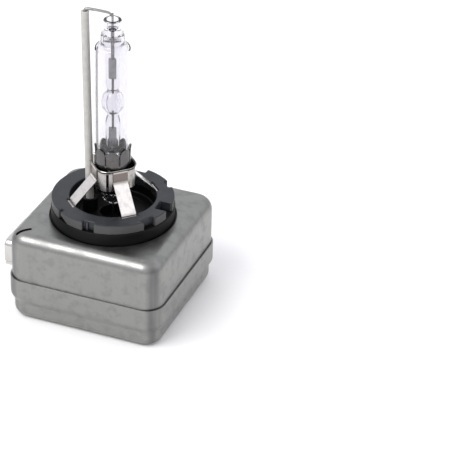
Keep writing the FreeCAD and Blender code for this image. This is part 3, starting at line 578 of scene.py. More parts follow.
class Skin:
    """Gathers the points, in millimetres, and the faces of one piece."""

    def __init__(self) -> None:
        """Starts empty."""
        self.points: list[Vector] = []
        self.faces: list[tuple[int, ...]] = []

    def row(self, points: Iterable[Sequence[float]]) -> list[int]:
        """Adds a row of points and gives their numbers.

        Args:
            points: The points, in millimetres.

        Returns:
            Their numbers in the skin.
        """
        start = len(self.points)
        self.points.extend(Vector(p) for p in points)
        return list(range(start, len(self.points)))

    def bridge(self, low: list[int], high: list[int], closed: bool = True) -> None:
        """Joins two rows of the same length with quads.

        Args:
            low: One row.
            high: The other.
            closed: Whether the rows close on themselves.
        """
        count = len(low)
        for k in range(count if closed else count - 1):
            j = (k + 1) % count
            self.faces.append((low[k], low[j], high[j], high[k]))

    def loft(self, rows: Iterable[Iterable[Sequence[float]]], closed: bool = True,
             loop: bool = False, ends: bool = False) -> list[list[int]]:
        """Joins many rows in turn.

        Args:
            rows: The rows of points, all of one length.
            closed: Whether each row closes on itself.
            loop: Whether the last row joins the first.
            ends: Whether the first and last rows get a flat face.

        Returns:
            The rows' point numbers.
        """
        made = [self.row(points) for points in rows]
        for low, high in zip(made, made[1:]):
            self.bridge(low, high, closed)
        if loop:
            self.bridge(made[-1], made[0], closed)
        if ends:
            self.faces.append(tuple(reversed(made[0])))
            self.faces.append(tuple(made[-1]))
        return made

    def lathe(self, profile: Sequence[Pair], steps: int = 96, loop: bool = True,
              wobble: Callable[[float, float], float] | None = None) -> None:
        """Turns a profile of (radius, height) pairs about the Z axis.

        Args:
            profile: The pairs, in order.
            steps: How many pieces a turn has.
            loop: Whether the last pair joins the first.
            wobble: Gives a share to add to the radius, from the angle and the height.
        """
        def ring(radius: float, height: float) -> list[Vector]:
            """One row of the turned shape.

            Args:
                radius: Its radius.
                height: Its height.

            Returns:
                The numbers of its points.
            """
            points = []
            for k in range(steps):
                turn = math.tau * k / steps
                reach = radius * (1 + (wobble(turn, height) if wobble else 0.0))
                points.append(Vector((reach * math.cos(turn), reach * math.sin(turn), height)))
            return points
        self.loft([ring(r, z) for r, z in profile], loop=loop)

    def slab(self, outline: Sequence[Pair], holes: Sequence[Sequence[Pair]], low: float,
             high: float, low_edge: float = 0.1, high_edge: float = 0.1) -> None:
        """A flat plate between two heights, with its edges rounded.

        Args:
            outline: Its outer edge, counter-clockwise.
            holes: The edges of its holes, clockwise.
            low: The lower height.
            high: The upper height.
            low_edge: How far the lower edges are rounded.
            high_edge: The same for the upper edges.
        """
        turns = [math.radians(a) for a in (0, 30, 60, 90)]
        levels = [(low_edge * (1 - math.sin(t)), low + low_edge * (1 - math.cos(t)))
                  for t in turns]
        levels += [(high_edge * (1 - math.cos(t)), high - high_edge * (1 - math.sin(t)))
                   for t in turns]
        floors, roofs = [], []
        for edge in (outline, *holes):
            rows = [[(x, y, z) for x, y in inset(edge, move)] for move, z in levels]
            made = self.loft(rows)
            floors.append(made[0])
            roofs.append(made[-1])
        self.fill(floors)
        self.fill(roofs)

    def fill(self, loops: list[list[int]]) -> None:
        """Fills the flat area inside the first loop and outside the others."""
        order = [k for loop in loops for k in loop]
        for face in geometry.tessellate_polygon([[self.points[k] for k in loop] for loop in loops]):
            self.faces.append(tuple(order[k] for k in face))

    def sweep(self, path: Sequence[Pair], section: Sequence[Pair], up: Vector = Vector((0, 0, 1)),
              across: Vector = Vector((1, 0, 0)), ends: bool = True, closed: bool = False,
              thin: Callable[[float], Pair] | None = None) -> None:
        """Draws a section along a path that lies in one plane.

        Args:
            path: Points of the path, as distances along across and up.
            section: A closed outline: distance along the path's left normal, and sideways.
            up: The plane's second direction.
            across: The plane's first direction.
            ends: Whether the ends are closed.
            closed: Whether the path closes on itself.
            thin: Gives the section's two scales from the share of the path passed.
        """
        side = across.cross(up)
        rows = []
        count = len(path)
        for k, point in enumerate(path):
            before = Vector(path[k - 1] if k or closed else path[0])
            after = Vector(path[(k + 1) % count] if k < count - 1 or closed else path[-1])
            run = (after - before).normalized()
            normal = across * -run.y + up * run.x
            here = across * point[0] + up * point[1]
            scale = thin(k / (count - 1)) if thin else (1.0, 1.0)
            rows.append([here + normal * (a * scale[0]) + side * (b * scale[1])
                         for a, b in section])
        self.loft(rows, loop=closed, ends=ends and not closed)

    def dome(self, seat: Vector, normal: Vector, radius: float, height: float) -> None:
        """A small closed button with a rounded top.

        Args:
            seat: The middle of its foot.
            normal: The way that it stands.
            radius: Its radius at the foot.
            height: Its height.
        """
        turn = normal.to_track_quat("Z", "Y")
        rows = []
        for share, rise in ((1.0, 0.0), (0.98, 0.45), (0.9, 0.78), (0.7, 0.94), (0.35, 1.0)):
            ring = arc((0, 0), radius * share, 0, 345, 23)
            rows.append([seat + turn @ Vector((x, y, height * rise)) for x, y in ring])
        self.loft(rows, ends=True)

    def moved(self, change: Matrix) -> "Skin":
        """Applies a matrix to everything so far, and gives the skin back."""
        self.points = [change @ p for p in self.points]
        return self

    def turned(self, angle: float) -> "Skin":
        """Turns everything so far about the Z axis, in degrees, and gives the skin back."""
        return self.moved(Matrix.Rotation(math.radians(angle), 4, "Z"))

    def build(self, name: str, hollow: "Skin | None" = None) -> bpy.types.Object:
        """Makes a mesh object with its faces outwards.

        Args:
            name: The piece's name.
            hollow: A closed skin inside the piece, whose faces look into the hollow.

        Returns:
            The object, in metres, at the origin.
        """
        mesh = bpy.data.meshes.new(name)
        shape = bmesh.new()
        for skin, inward in ((self, False), (hollow, True)):
            if skin is None:
                continue
            part = bmesh.new()
            corners = [part.verts.new(p * MM) for p in skin.points]
            for face in skin.faces:
                if len(set(face)) > 2:
                    part.faces.new([corners[k] for k in face])
            bmesh.ops.remove_doubles(part, verts=part.verts, dist=2e-6)
            bmesh.ops.recalc_face_normals(part, faces=part.faces)
            if inward:
                bmesh.ops.reverse_faces(part, faces=part.faces)
            piece = bpy.data.meshes.new("part")
            part.to_mesh(piece)
            part.free()
            shape.from_mesh(piece)
            bpy.data.meshes.remove(piece)
        shape.to_mesh(mesh)
        shape.free()
        made = bpy.data.objects.new(name, mesh)
        bpy.context.scene.collection.objects.link(made)
        return made


def bake_modifiers(piece: bpy.types.Object) -> None:
    """Turns a piece's modifiers into a plain mesh.

    Args:
        piece: The piece, whose modifiers are applied in order.
    """
    graph = bpy.context.evaluated_depsgraph_get()
    plain = bpy.data.meshes.new_from_object(piece.evaluated_get(graph))
    old = piece.data
    piece.modifiers.clear()
    piece.data = plain
    bpy.data.meshes.remove(old)
    plain.name = piece.name


def combine(piece: bpy.types.Object, operation: str, tools: Sequence[bpy.types.Object]) -> None:
    """Applies closed shapes to a piece by one boolean operation, and removes them.

    Args:
        piece: The piece.
        operation: "DIFFERENCE" or "UNION".
        tools: The closed shapes.
    """
    for tool in tools:
        modifier = piece.modifiers.new("combine", "BOOLEAN")
        modifier.operation = operation
        modifier.solver = "EXACT"
        modifier.object = tool
    bake_modifiers(piece)
    for tool in tools:
        bpy.data.objects.remove(tool)


def cut(piece: bpy.types.Object, *tools: bpy.types.Object) -> None:
    """Cuts closed shapes out of a piece."""
    combine(piece, "DIFFERENCE", tools)


def weld(piece: bpy.types.Object, *tools: bpy.types.Object) -> None:
    """Joins closed shapes to a piece."""
    combine(piece, "UNION", tools)


def block(name: str, outline: Sequence[Pair], low: float, high: float,
          place: Callable[[float, float, float], Sequence[float]] | None = None
          ) -> bpy.types.Object:
    """A sharp-edged prism, for cutting.

    Args:
        name: Its name.
        outline: Its outline.
        low: Where it starts along its third direction.
        high: Where it stops.
        place: Turns (outline x, outline y, third) into a point; straight up if left out.

    Returns:
        The object.
    """
    put = place or (lambda x, y, z: (x, y, z))
    skin = Skin()
    skin.loft([[put(x, y, z) for x, y in outline] for z in (low, high)], ends=True)
    return skin.build(name)


def settle(piece: bpy.types.Object, slot: str, finish: Finish, *nodes: str,
           angle: float = 35.0) -> bpy.types.Object:
    """Shades and dresses a finished piece, and joins it to the frame.

    Args:
        piece: The piece.
        slot: The record's material slot; not used.
        finish: Its finish.
        nodes: The CAD nodes that it stands for.
        angle: The edge angle, in degrees, above which an edge looks sharp.

    Returns:
        The piece.
    """
    piece.data.shade_smooth()
    piece.data.set_sharp_from_angle(angle=math.radians(angle))
    weigh = piece.modifiers.new("weigh", "WEIGHTED_NORMAL")
    weigh.keep_sharp = True
    bake_modifiers(piece)
    piece.data.materials.clear()
    piece.data.materials.append(finish.build())
    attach(piece, "root")
    if nodes:
        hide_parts(*nodes)
    log.info("%-20s %6d faces, stands for %s", piece.name, len(piece.data.polygons),
             ", ".join(nodes) or "nothing")
    return piece


# ---------------------------------------------------------------------------
# Geometry Nodes
# ---------------------------------------------------------------------------


class Pattern:
    """A Geometry Nodes tree that repeats or winds something, with named inputs."""

    def __init__(self, name: str, numbers: dict[str, float], finish: Finish) -> None:
        """Starts a tree.

        Args:
            name: The tree's name.
            numbers: Its named sizes, in metres, degrees or counts.
            finish: The finish that it sets.
        """
        self.tree = bpy.data.node_groups.new(name, "GeometryNodeTree")
        self.graph = Graph(self.tree)
        self.finish = finish
        self.numbers = numbers
        face = self.tree.interface
        face.new_socket("Geometry", in_out="INPUT", socket_type="NodeSocketGeometry")
        face.new_socket("Geometry", in_out="OUTPUT", socket_type="NodeSocketGeometry")
        self.sockets = {}
        for key, number in numbers.items():
            kind = "NodeSocketInt" if isinstance(number, int) else "NodeSocketFloat"
            self.sockets[key] = face.new_socket(key, in_out="INPUT", socket_type=kind)
        self.given = self.graph.node("NodeGroupInput")

    def input(self, name: str) -> Value:
        """One of the tree's inputs, by name."""
        return Value(self.graph, self.given.socket.node.outputs[name])

    def end(self, shape: Value) -> None:
        """Ends the tree: real copies, with the finish set.

        Args:
            shape: The geometry that the pattern gives.
        """
        real = self.graph.node("GeometryNodeRealizeInstances", {}, {"Geometry": shape})
        dressed = self.graph.node("GeometryNodeSetMaterial", {}, {
            "Geometry": real, "Material": self.finish.build()})
        self.graph.node("NodeGroupOutput", {}, {"Geometry": dressed})

    def apply(self, piece: bpy.types.Object) -> bpy.types.Object:
        """Runs the tree on a piece and makes the result its plain mesh.

        Args:
            piece: The piece that the pattern repeats.

        Returns:
            The same object, with the result in its mesh.
        """
        modifier = piece.modifiers.new(self.tree.name, "NODES")
        modifier.node_group = self.tree
        for key, number in self.numbers.items():
            modifier[self.sockets[key].identifier] = number
        bake_modifiers(piece)
        return piece


def repeat_round(piece: bpy.types.Object, count: int, finish: Finish) -> bpy.types.Object:
    """Repeats a piece at even angles about the Z axis.

    Args:
        piece: The piece, at its first place.
        count: How many there are in all.
        finish: Its finish.

    Returns:
        The same object, with all the copies in its mesh.
    """
    pattern = Pattern(piece.name + "_round", {"Count": count}, finish)
    graph = pattern.graph
    points = graph.node("GeometryNodePoints", {}, {"Count": pattern.input("Count")})
    step = graph.node("ShaderNodeMath", {"operation": "DIVIDE"},
                      {0: math.tau, 1: pattern.input("Count")})
    turn = graph.node("GeometryNodeInputIndex") * step
    spin = graph.node("ShaderNodeCombineXYZ", {}, {"Z": turn})
    copies = graph.node("GeometryNodeInstanceOnPoints", {}, {
        "Points": points, "Instance": pattern.input("Geometry"), "Rotation": spin})
    real = graph.node("GeometryNodeRealizeInstances", {}, {"Geometry": copies})
    merged = graph.node("GeometryNodeMergeByDistance", {}, {"Geometry": real,
                                                            "Distance": 2e-6})
    pattern.end(merged)
    return pattern.apply(piece)


def repeat_at(piece: bpy.types.Object, places: Sequence[Sequence[float]],
              finish: Finish) -> bpy.types.Object:
    """Repeats a small piece at given places.

    Args:
        piece: The piece, made at the origin.
        places: Where each copy goes, in millimetres.
        finish: Its finish.

    Returns:
        An object with all the copies in its mesh; the first piece is removed.
    """
    seats = bpy.data.meshes.new(piece.name + "_seats")
    seats.from_pydata([tuple(Vector(p) * MM) for p in places], [], [])
    made = bpy.data.objects.new(piece.name + "_set", seats)
    bpy.context.scene.collection.objects.link(made)
    pattern = Pattern(made.name, {"Scale": 1.0}, finish)
    graph = pattern.graph
    shape = graph.node("GeometryNodeObjectInfo", {}, {"Object": piece}, output="Geometry")
    points = graph.node("GeometryNodeMeshToPoints", {}, {"Mesh": pattern.input("Geometry")})
    copies = graph.node("GeometryNodeInstanceOnPoints", {}, {
        "Points": points, "Instance": shape, "Scale": pattern.input("Scale")})
    pattern.end(copies)
    pattern.apply(made)
    bpy.data.objects.remove(piece)
    return made


def wind(name: str, turns: int, radius: float, wire: float, length: float, centre: Vector,
         finish: Finish, sides: int = 8) -> bpy.types.Object:
    """A wire wound on a spool that lies along Y.

    Args:
        name: The piece's name.
        turns: How many turns it has.
        radius: The turns' outer radius, in millimetres.
        wire: The wire's radius.
        length: The winding's length.
        centre: The middle of the winding.
        finish: Its finish.
        sides: How many sides the wire has.

    Returns:
        The object.
    """
    mesh = bpy.data.meshes.new(name)
    made = bpy.data.objects.new(name, mesh)
    bpy.context.scene.collection.objects.link(made)
    reach = (radius - wire) * MM
    pattern = Pattern(name, {"Turns": turns, "Reach": reach, "Wire": wire * MM,
                             "Length": (length - 2 * wire) * MM}, finish)
    graph = pattern.graph
    spiral = graph.node("GeometryNodeCurveSpiral", {}, {
        "Resolution": 32, "Rotations": pattern.input("Turns"),
        "Start Radius": pattern.input("Reach"), "End Radius": pattern.input("Reach"),
        "Height": pattern.input("Length")})
    ring = graph.node("GeometryNodeCurvePrimitiveCircle", {}, {
        "Resolution": sides, "Radius": pattern.input("Wire")})
    coil = graph.node("GeometryNodeCurveToMesh", {}, {
        "Curve": spiral, "Profile Curve": ring, "Fill Caps": True})
    start = centre - Vector((0, length / 2 - wire, 0))
    laid = graph.node("GeometryNodeTransform", {}, {
        "Geometry": coil, "Rotation": (-math.pi / 2, 0, 0), "Translation": start * MM})
    pattern.end(laid)
    return pattern.apply(made)


# ---------------------------------------------------------------------------
# The can
# ---------------------------------------------------------------------------


@dataclass(frozen=True)
class Can:
    """The two drawn shells, in millimetres."""

    half_x: float = 21.3
    half_y: float = 20.8
    top: float = 25.3
    corner: float = 5.0
    fillet: float = 3.3
    wall: float = 0.5
    low: float = 7.6
    hole: float = 16.5
    seam: float = 12.04
    rim_grow: float = 0.53
    rim_low: float = 7.0
    pan_top: float = 4.5
    pan_inset: float = 0.98
    pan_fillet: float = 2.7
    bow: float = 0.07
    opening_y: Pair = (-6.1, 9.2)
    opening_z: Pair = (4.4, 12.6)
    slot_reach: Pair = (22.3, 26.6)
    slot_width: float = 0.95
    slot_angle: float = -135.6
    weld_marks: tuple[tuple[float, float, float], ...] = (
        (10.16, -21.33, 8.75), (9.74, -21.33, 6.9), (-9.59, 21.33, 9.73), (10.25, 21.33, 9.9))

    def _bowed(self, x: float, y: float, z: float) -> Vector:
        """A point of the outside, let in a little where the sheet has moved in forming.

        Args:
            x: Its place along X.
            y: Its place along Y.
            z: Its height.

        Returns:
            The point, let in.
        """
        wave = noise.noise(Vector((x, y, z)) * 0.09) * 0.7 + noise.noise(
            Vector((x, y, z)) * 0.28) * 0.3
        sunk = self.bow * (0.5 + 0.5 * wave)
        draw = 1 - sunk / self.half_x
        return Vector((x * draw, y * draw, z - sunk * soft_step(z, self.top - 1.5, 3.0)))

    def _row(self, inset_by: float, z: float, grow: float = 0.0,
             pads: bool = False) -> list[Vector]:
        """One row round the can.

        Args:
            inset_by: How far it lies inside the widest outline.
            z: Its height.
            grow: How much wider than the front shell that outline is.
            pads: Whether the pressed pads beside the connector show on it.

        Returns:
            The row's points.
        """
        reach = grow - inset_by
        outline = rounded_box(self.half_x + reach, self.half_y + reach,
                              max(0.6, self.corner + reach), 14, 48)
        row = []
        for x, y in outline:
            point = self._bowed(x, y, z)
            if pads and x < -self.half_x + 1.5:
                low_pad = pad_mask(y, -14.7, -8.3, 0.9) * pad_mask(z, 19.6, 21.4, 0.8)
                high_pad = pad_mask(y, 8.7, 16.0, 0.9) * pad_mask(z, 20.6, 22.2, 0.8)
                point.x -= 0.22 * (low_pad + high_pad)
            row.append(point)
        return row

    def front_shell(self) -> bpy.types.Object:
        """The deep shell that the lamp stands on, with its round opening and relief slot."""
        start = self.top - self.fillet
        curve = [math.radians(a) for a in spread(0, 90, 9)]
        rows = [self._row(0.0, z, pads=True) for z in spread(self.low, start, 36)]
        rows += [self._row(self.fillet * (1 - math.cos(t)), start + self.fillet * math.sin(t),
                           pads=True) for t in curve[1:]]
        inner_curve = self.fillet - self.wall
        rows += self._lid(rows[-1], (0.3, 0.6, 0.85), 0.0)
        edge = self._row(self.fillet, self.top)
        for out, down in ((0.28, 0.0), (0.12, 0.03), (0.03, 0.1), (0.0, 0.2), (0.0, 0.42),
                          (0.05, 0.5)):
            rows.append([Vector((p.x, p.y, 0)).normalized() * (self.hole + out)
                         + Vector((0, 0, self.top - down - self.bow / 2)) for p in edge])
        under = self._row(self.fillet, self.top - self.wall)
        rows += reversed(self._lid(under, (0.3, 0.7), self.wall))
        rows += [self._row(self.wall + inner_curve * (1 - math.cos(t)),
                           start + inner_curve * math.sin(t)) for t in reversed(curve)]
        rows += [self._row(self.wall, z) for z in spread(start, self.low, 6)[1:]]
        skin = Skin()
        skin.loft(rows, loop=True)
        piece = skin.build("front_case")
        cut(piece, self._slot_tool(), self._opening_tool())
        return settle(piece, "can_steel", CAN_STEEL, "front_shell")

    def _lid(self, rim: list[Vector], shares: Sequence[float], down: float) -> list[list[Vector]]:
        """Rows of the flat top between its rim and the round opening.

        Args:
            rim: The row at the rim.
            shares: How far towards the opening each row lies.
            down: How far below the top the surface is.

        Returns:
            The rows, from the rim inwards.
        """
        made = []
        for share in shares:
            row = []
            for p in rim:
                target = Vector((p.x, p.y, 0)).normalized() * (self.hole + 0.28)
                row.append(Vector((p.x + (target.x - p.x) * share, p.y + (target.y - p.y) * share,
                                   self.top - down - self.bow / 2)))
            made.append(row)
        return made

    def _slot_tool(self) -> bpy.types.Object:
        """The cutter for the slot across the corner."""
        middle = sum(self.slot_reach) / 2
        half = (self.slot_reach[1] - self.slot_reach[0]) / 2
        skin = Skin()
        outline = rounded_box(half, self.slot_width / 2, self.slot_width * 0.45, 5,
                              centre=(middle, 0.0))
        skin.loft([[(x, y, z) for x, y in outline] for z in (self.top - 5.5, self.top + 1)],
                  ends=True)
        return skin.turned(self.slot_angle).build("slot_tool")

    def _opening_tool(self) -> bpy.types.Object:
        """The cutter that makes room for the connector in the wall."""
        (y0, y1), (z0, z1) = self.opening_y, self.opening_z
        outline = rounded_box((y1 - y0) / 2, (z1 - z0) / 2, 1.6, 6,
                              centre=((y0 + y1) / 2, (z0 + z1) / 2))
        return block("opening_tool", outline, -self.half_x - 3, -self.half_x + 2,
                     lambda y, z, x: (x, y, z))

    def rear_shell(self) -> bpy.types.Object:
        """The shallow pan whose rim laps over the front shell."""
        grow, pan, turn = self.rim_grow, self.pan_inset, self.pan_fillet
        low_curve = [math.radians(a) for a in spread(-90, 0, 8)]
        steps = spread(0, 1, 8)
        levels = [(15.0, 0.0), (9.0, 0.0), (5.5, 0.0)]
        levels += [(pan + turn * (1 - math.cos(t)), turn * (1 + math.sin(t))) for t in low_curve]
        levels += [(pan, z) for z in (3.3, 3.9, self.pan_top)]
        levels += [(pan * (1 - soft_step(s, 0.5, 1.0)),
                    self.pan_top + (self.rim_low - self.pan_top) * s) for s in steps[1:]]
        levels += [(0.0, z) for z in spread(self.rim_low, self.seam - 0.14, 14)[1:]]
        levels += [(0.04, self.seam - 0.04), (0.14, self.seam), (0.36, self.seam),
                   (0.46, self.seam - 0.04), (self.wall, self.seam - 0.14)]
        levels += [(self.wall, z) for z in spread(self.seam - 1, self.rim_low, 4)]
        levels += [(self.wall + pan * soft_step(s, 0.5, 1.0),
                    self.rim_low + (self.pan_top - self.rim_low) * s) for s in steps[1:]]
        inner = turn - self.wall
        levels += [(pan + self.wall + inner * (1 - math.cos(t)), turn + inner * math.sin(t))
                   for t in reversed(low_curve)]
        levels += [(5.5, self.wall), (9.0, self.wall), (15.0, self.wall)]
        skin = Skin()
        skin.loft([self._row(move, z, grow) for move, z in levels], ends=True)
        piece = skin.build("rear_case")
        cut(piece, self._opening_tool(), self._weld_tool())
        return settle(piece, "can_steel", CAN_STEEL, "rear_shell")

    def _weld_tool(self) -> bpy.types.Object:
        """The small lenses that leave the weld marks in the rim."""
        lens = Skin()
        lens.lathe([(0, -0.14), (0.22, -0.12), (0.38, -0.06), (0.44, 0.0), (0.38, 0.06),
                    (0.22, 0.12), (0, 0.14)], 20, loop=False)
        lens.moved(Matrix.Rotation(math.pi / 2, 4, "X"))
        return repeat_at(lens.build("weld_lens"), self.weld_marks, CAN_STEEL)


# ---------------------------------------------------------------------------
# The connector
# ---------------------------------------------------------------------------


@dataclass(frozen=True)
class Connector:
    """The formed shield, the moulded insert in it and its pins, in millimetres."""

    centre: Pair = (1.55, 8.5)
    half: Pair = (7.15, 4.0)
    corner: float = 1.9
    mouth: float = -29.4
    root: float = -20.2
    face: float = -21.34
    wall: float = 0.4
    split_z: Pair = (6.2, 9.05)
    window_x: Pair = (-27.4, -25.0)
    window_y: Pair = (-0.8, 1.9)
    dimple: Pair = (-24.0, 5.15)
    dimple_radius: float = 1.35
    pin_pitch: float = 2.9
    pin_half: Pair = (0.5, 0.4)
    pin_tip: float = -24.9
    pin_turn: float = -15.4
    board_top: float = 4.6

    def _ring(self, x: float, inset_by: float) -> list[tuple[float, float, float]]:
        """One row of the shield's rounded outline at a distance along X."""
        outline = rounded_box(self.half[0] - inset_by, self.half[1] - inset_by,
                              max(0.3, self.corner - inset_by), 8, 8, self.centre)
        return [(x, y, z) for y, z in outline]

    def shield(self) -> bpy.types.Object:
        """The bright formed tube, with its window, dimple, side split and flared foot."""
        face, mouth = self.face, self.mouth
        levels = [(self.root, 0.0), (face + 0.02, 0.0), (face - 0.02, -0.42),
                  (face - 0.12, -0.42), (face - 0.3, -0.24), (face - 0.55, -0.1),
                  (face - 0.9, -0.02), (face - 1.4, 0.0)]
        levels += [(x, 0.0) for x in spread(face - 2, mouth + 0.22, 8)]
        levels += [(mouth + 0.06, 0.05), (mouth, 0.14), (mouth, 0.26), (mouth + 0.06, 0.35),
                   (mouth + 0.22, self.wall), (face, self.wall), (self.root, self.wall)]
        skin = Skin()
        skin.loft([self._ring(x, move) for x, move in levels], loop=True)
        piece = skin.build("shield")
        top = self.centre[1] + self.half[1]
        (x0, x1), (y0, y1) = self.window_x, self.window_y
        window = block("window_tool", rounded_box((x1 - x0) / 2, (y1 - y0) / 2, 0.35, 4, 1,
                                                  ((x0 + x1) / 2, (y0 + y1) / 2)),
                       top - self.wall - 0.3, top + 0.5)
        z0, z1 = self.split_z
        side = self.centre[0] + self.half[0]
        split = block("split_tool", [(mouth - 1, z0), (face - 0.5, z0), (face - 0.1, z0 + 0.3),
                                     (face - 0.1, z1 - 0.2), (face - 0.9, z1 + 0.1),
                                     (mouth - 1, z1)],
                      side - self.wall - 0.4, side + 1, lambda x, z, y: (x, y, z))
        far = self.centre[0] - self.half[0]
        notch = block("notch_tool", [(mouth - 1, 3.9), (-28.4, 3.9), (-28.4, 5.0), (-27.0, 5.0),
                                     (-27.0, 6.4), (mouth - 1, 6.4)],
                      far - 1, far + self.wall + 0.05, lambda x, z, y: (x, y, z))
        cut(piece, window, split, notch, self._dimple_tool(top))
        return settle(piece, "shield_nickel", SHIELD_NICKEL, "connector_shield", angle=30)

    def _dimple_tool(self, top: float) -> bpy.types.Object:
        """The shallow dish pressed into the shield's upper face.

        Args:
            top: The height of the shield's upper face.

        Returns:
            The cutter.
        """
        skin = Skin()
        reach = self.dimple_radius
        skin.lathe([(0, -0.34), (reach * 0.55, -0.32), (reach * 0.8, -0.26), (reach * 0.93, -0.16),
                    (reach, 0.0), (reach, 0.3), (0, 0.3)], 40, loop=False)
        skin.moved(Matrix.Translation((*self.dimple, top)))
        return skin.build("dimple_tool")

    def insert(self) -> bpy.types.Object:
        """The black moulding in the shield, with a lug at its mouth and a nib in the split."""
        back, lip = -17.6, self.mouth + 0.25
        levels = [(back, 3.0), (back, 0.6), (back - 0.12, 0.44), (lip + 0.15, 0.44),
                  (lip + 0.04, 0.5), (lip, 0.62), (lip, 1.24), (lip + 0.04, 1.36),
                  (lip + 0.15, 1.42), (-20.1, 1.46), (-19.9, 1.65), (-19.9, 3.0)]
        skin = Skin()
        skin.loft([self._ring(x, move) for x, move in levels], ends=True)
        y0, z0 = self.centre[0] - self.half[0] + 0.5, self.centre[1] + 1.2
        lug = rounded_box(0.42, 1.0, 0.2, 4, 1, (y0 + 0.5, z0))
        skin.loft([[(x, y, z) for y, z in inset(lug, move)]
                   for x, move in ((lip + 0.1, 0.0), (lip - 0.14, 0.0), (lip - 0.23, 0.1))],
                  ends=True)
        skin.dome(Vector((-25.8, self.centre[0] + self.half[0] - 0.46, 7.8)), Vector((0, 1, 0)),
                  0.3, 0.32)
        return settle(skin.build("insert"), "black_plastic", BLACK_PLASTIC, "connector_insert")

    def pins(self) -> None:
        """The four flat pins, pointed at the tip and turned down to the board."""
        half_y, half_z = self.pin_half
        for number in range(4):
            side = self.centre[0] + self.pin_pitch * (number - 1.5)
            path = soften([(self.pin_tip, self.centre[1], 0),
                           (self.pin_tip + 0.5, self.centre[1], 0),
                           (self.pin_turn, self.centre[1], 0.7),
                           (self.pin_turn, self.board_top, 0)], 5)
            skin = Skin()
            skin.sweep(path, rounded_box(half_z, half_y, 0.12, 3),
                       thin=lambda share: (0.35, 0.55) if share == 0 else (1.0, 1.0))
            skin.moved(Matrix.Translation((0, side, 0)))
            settle(skin.build(f"pin_{number + 1}"), "pin_tin", PIN_TIN,
                   f"connector_pin_{number + 1}")


# ---------------------------------------------------------------------------
# The cap
# ---------------------------------------------------------------------------


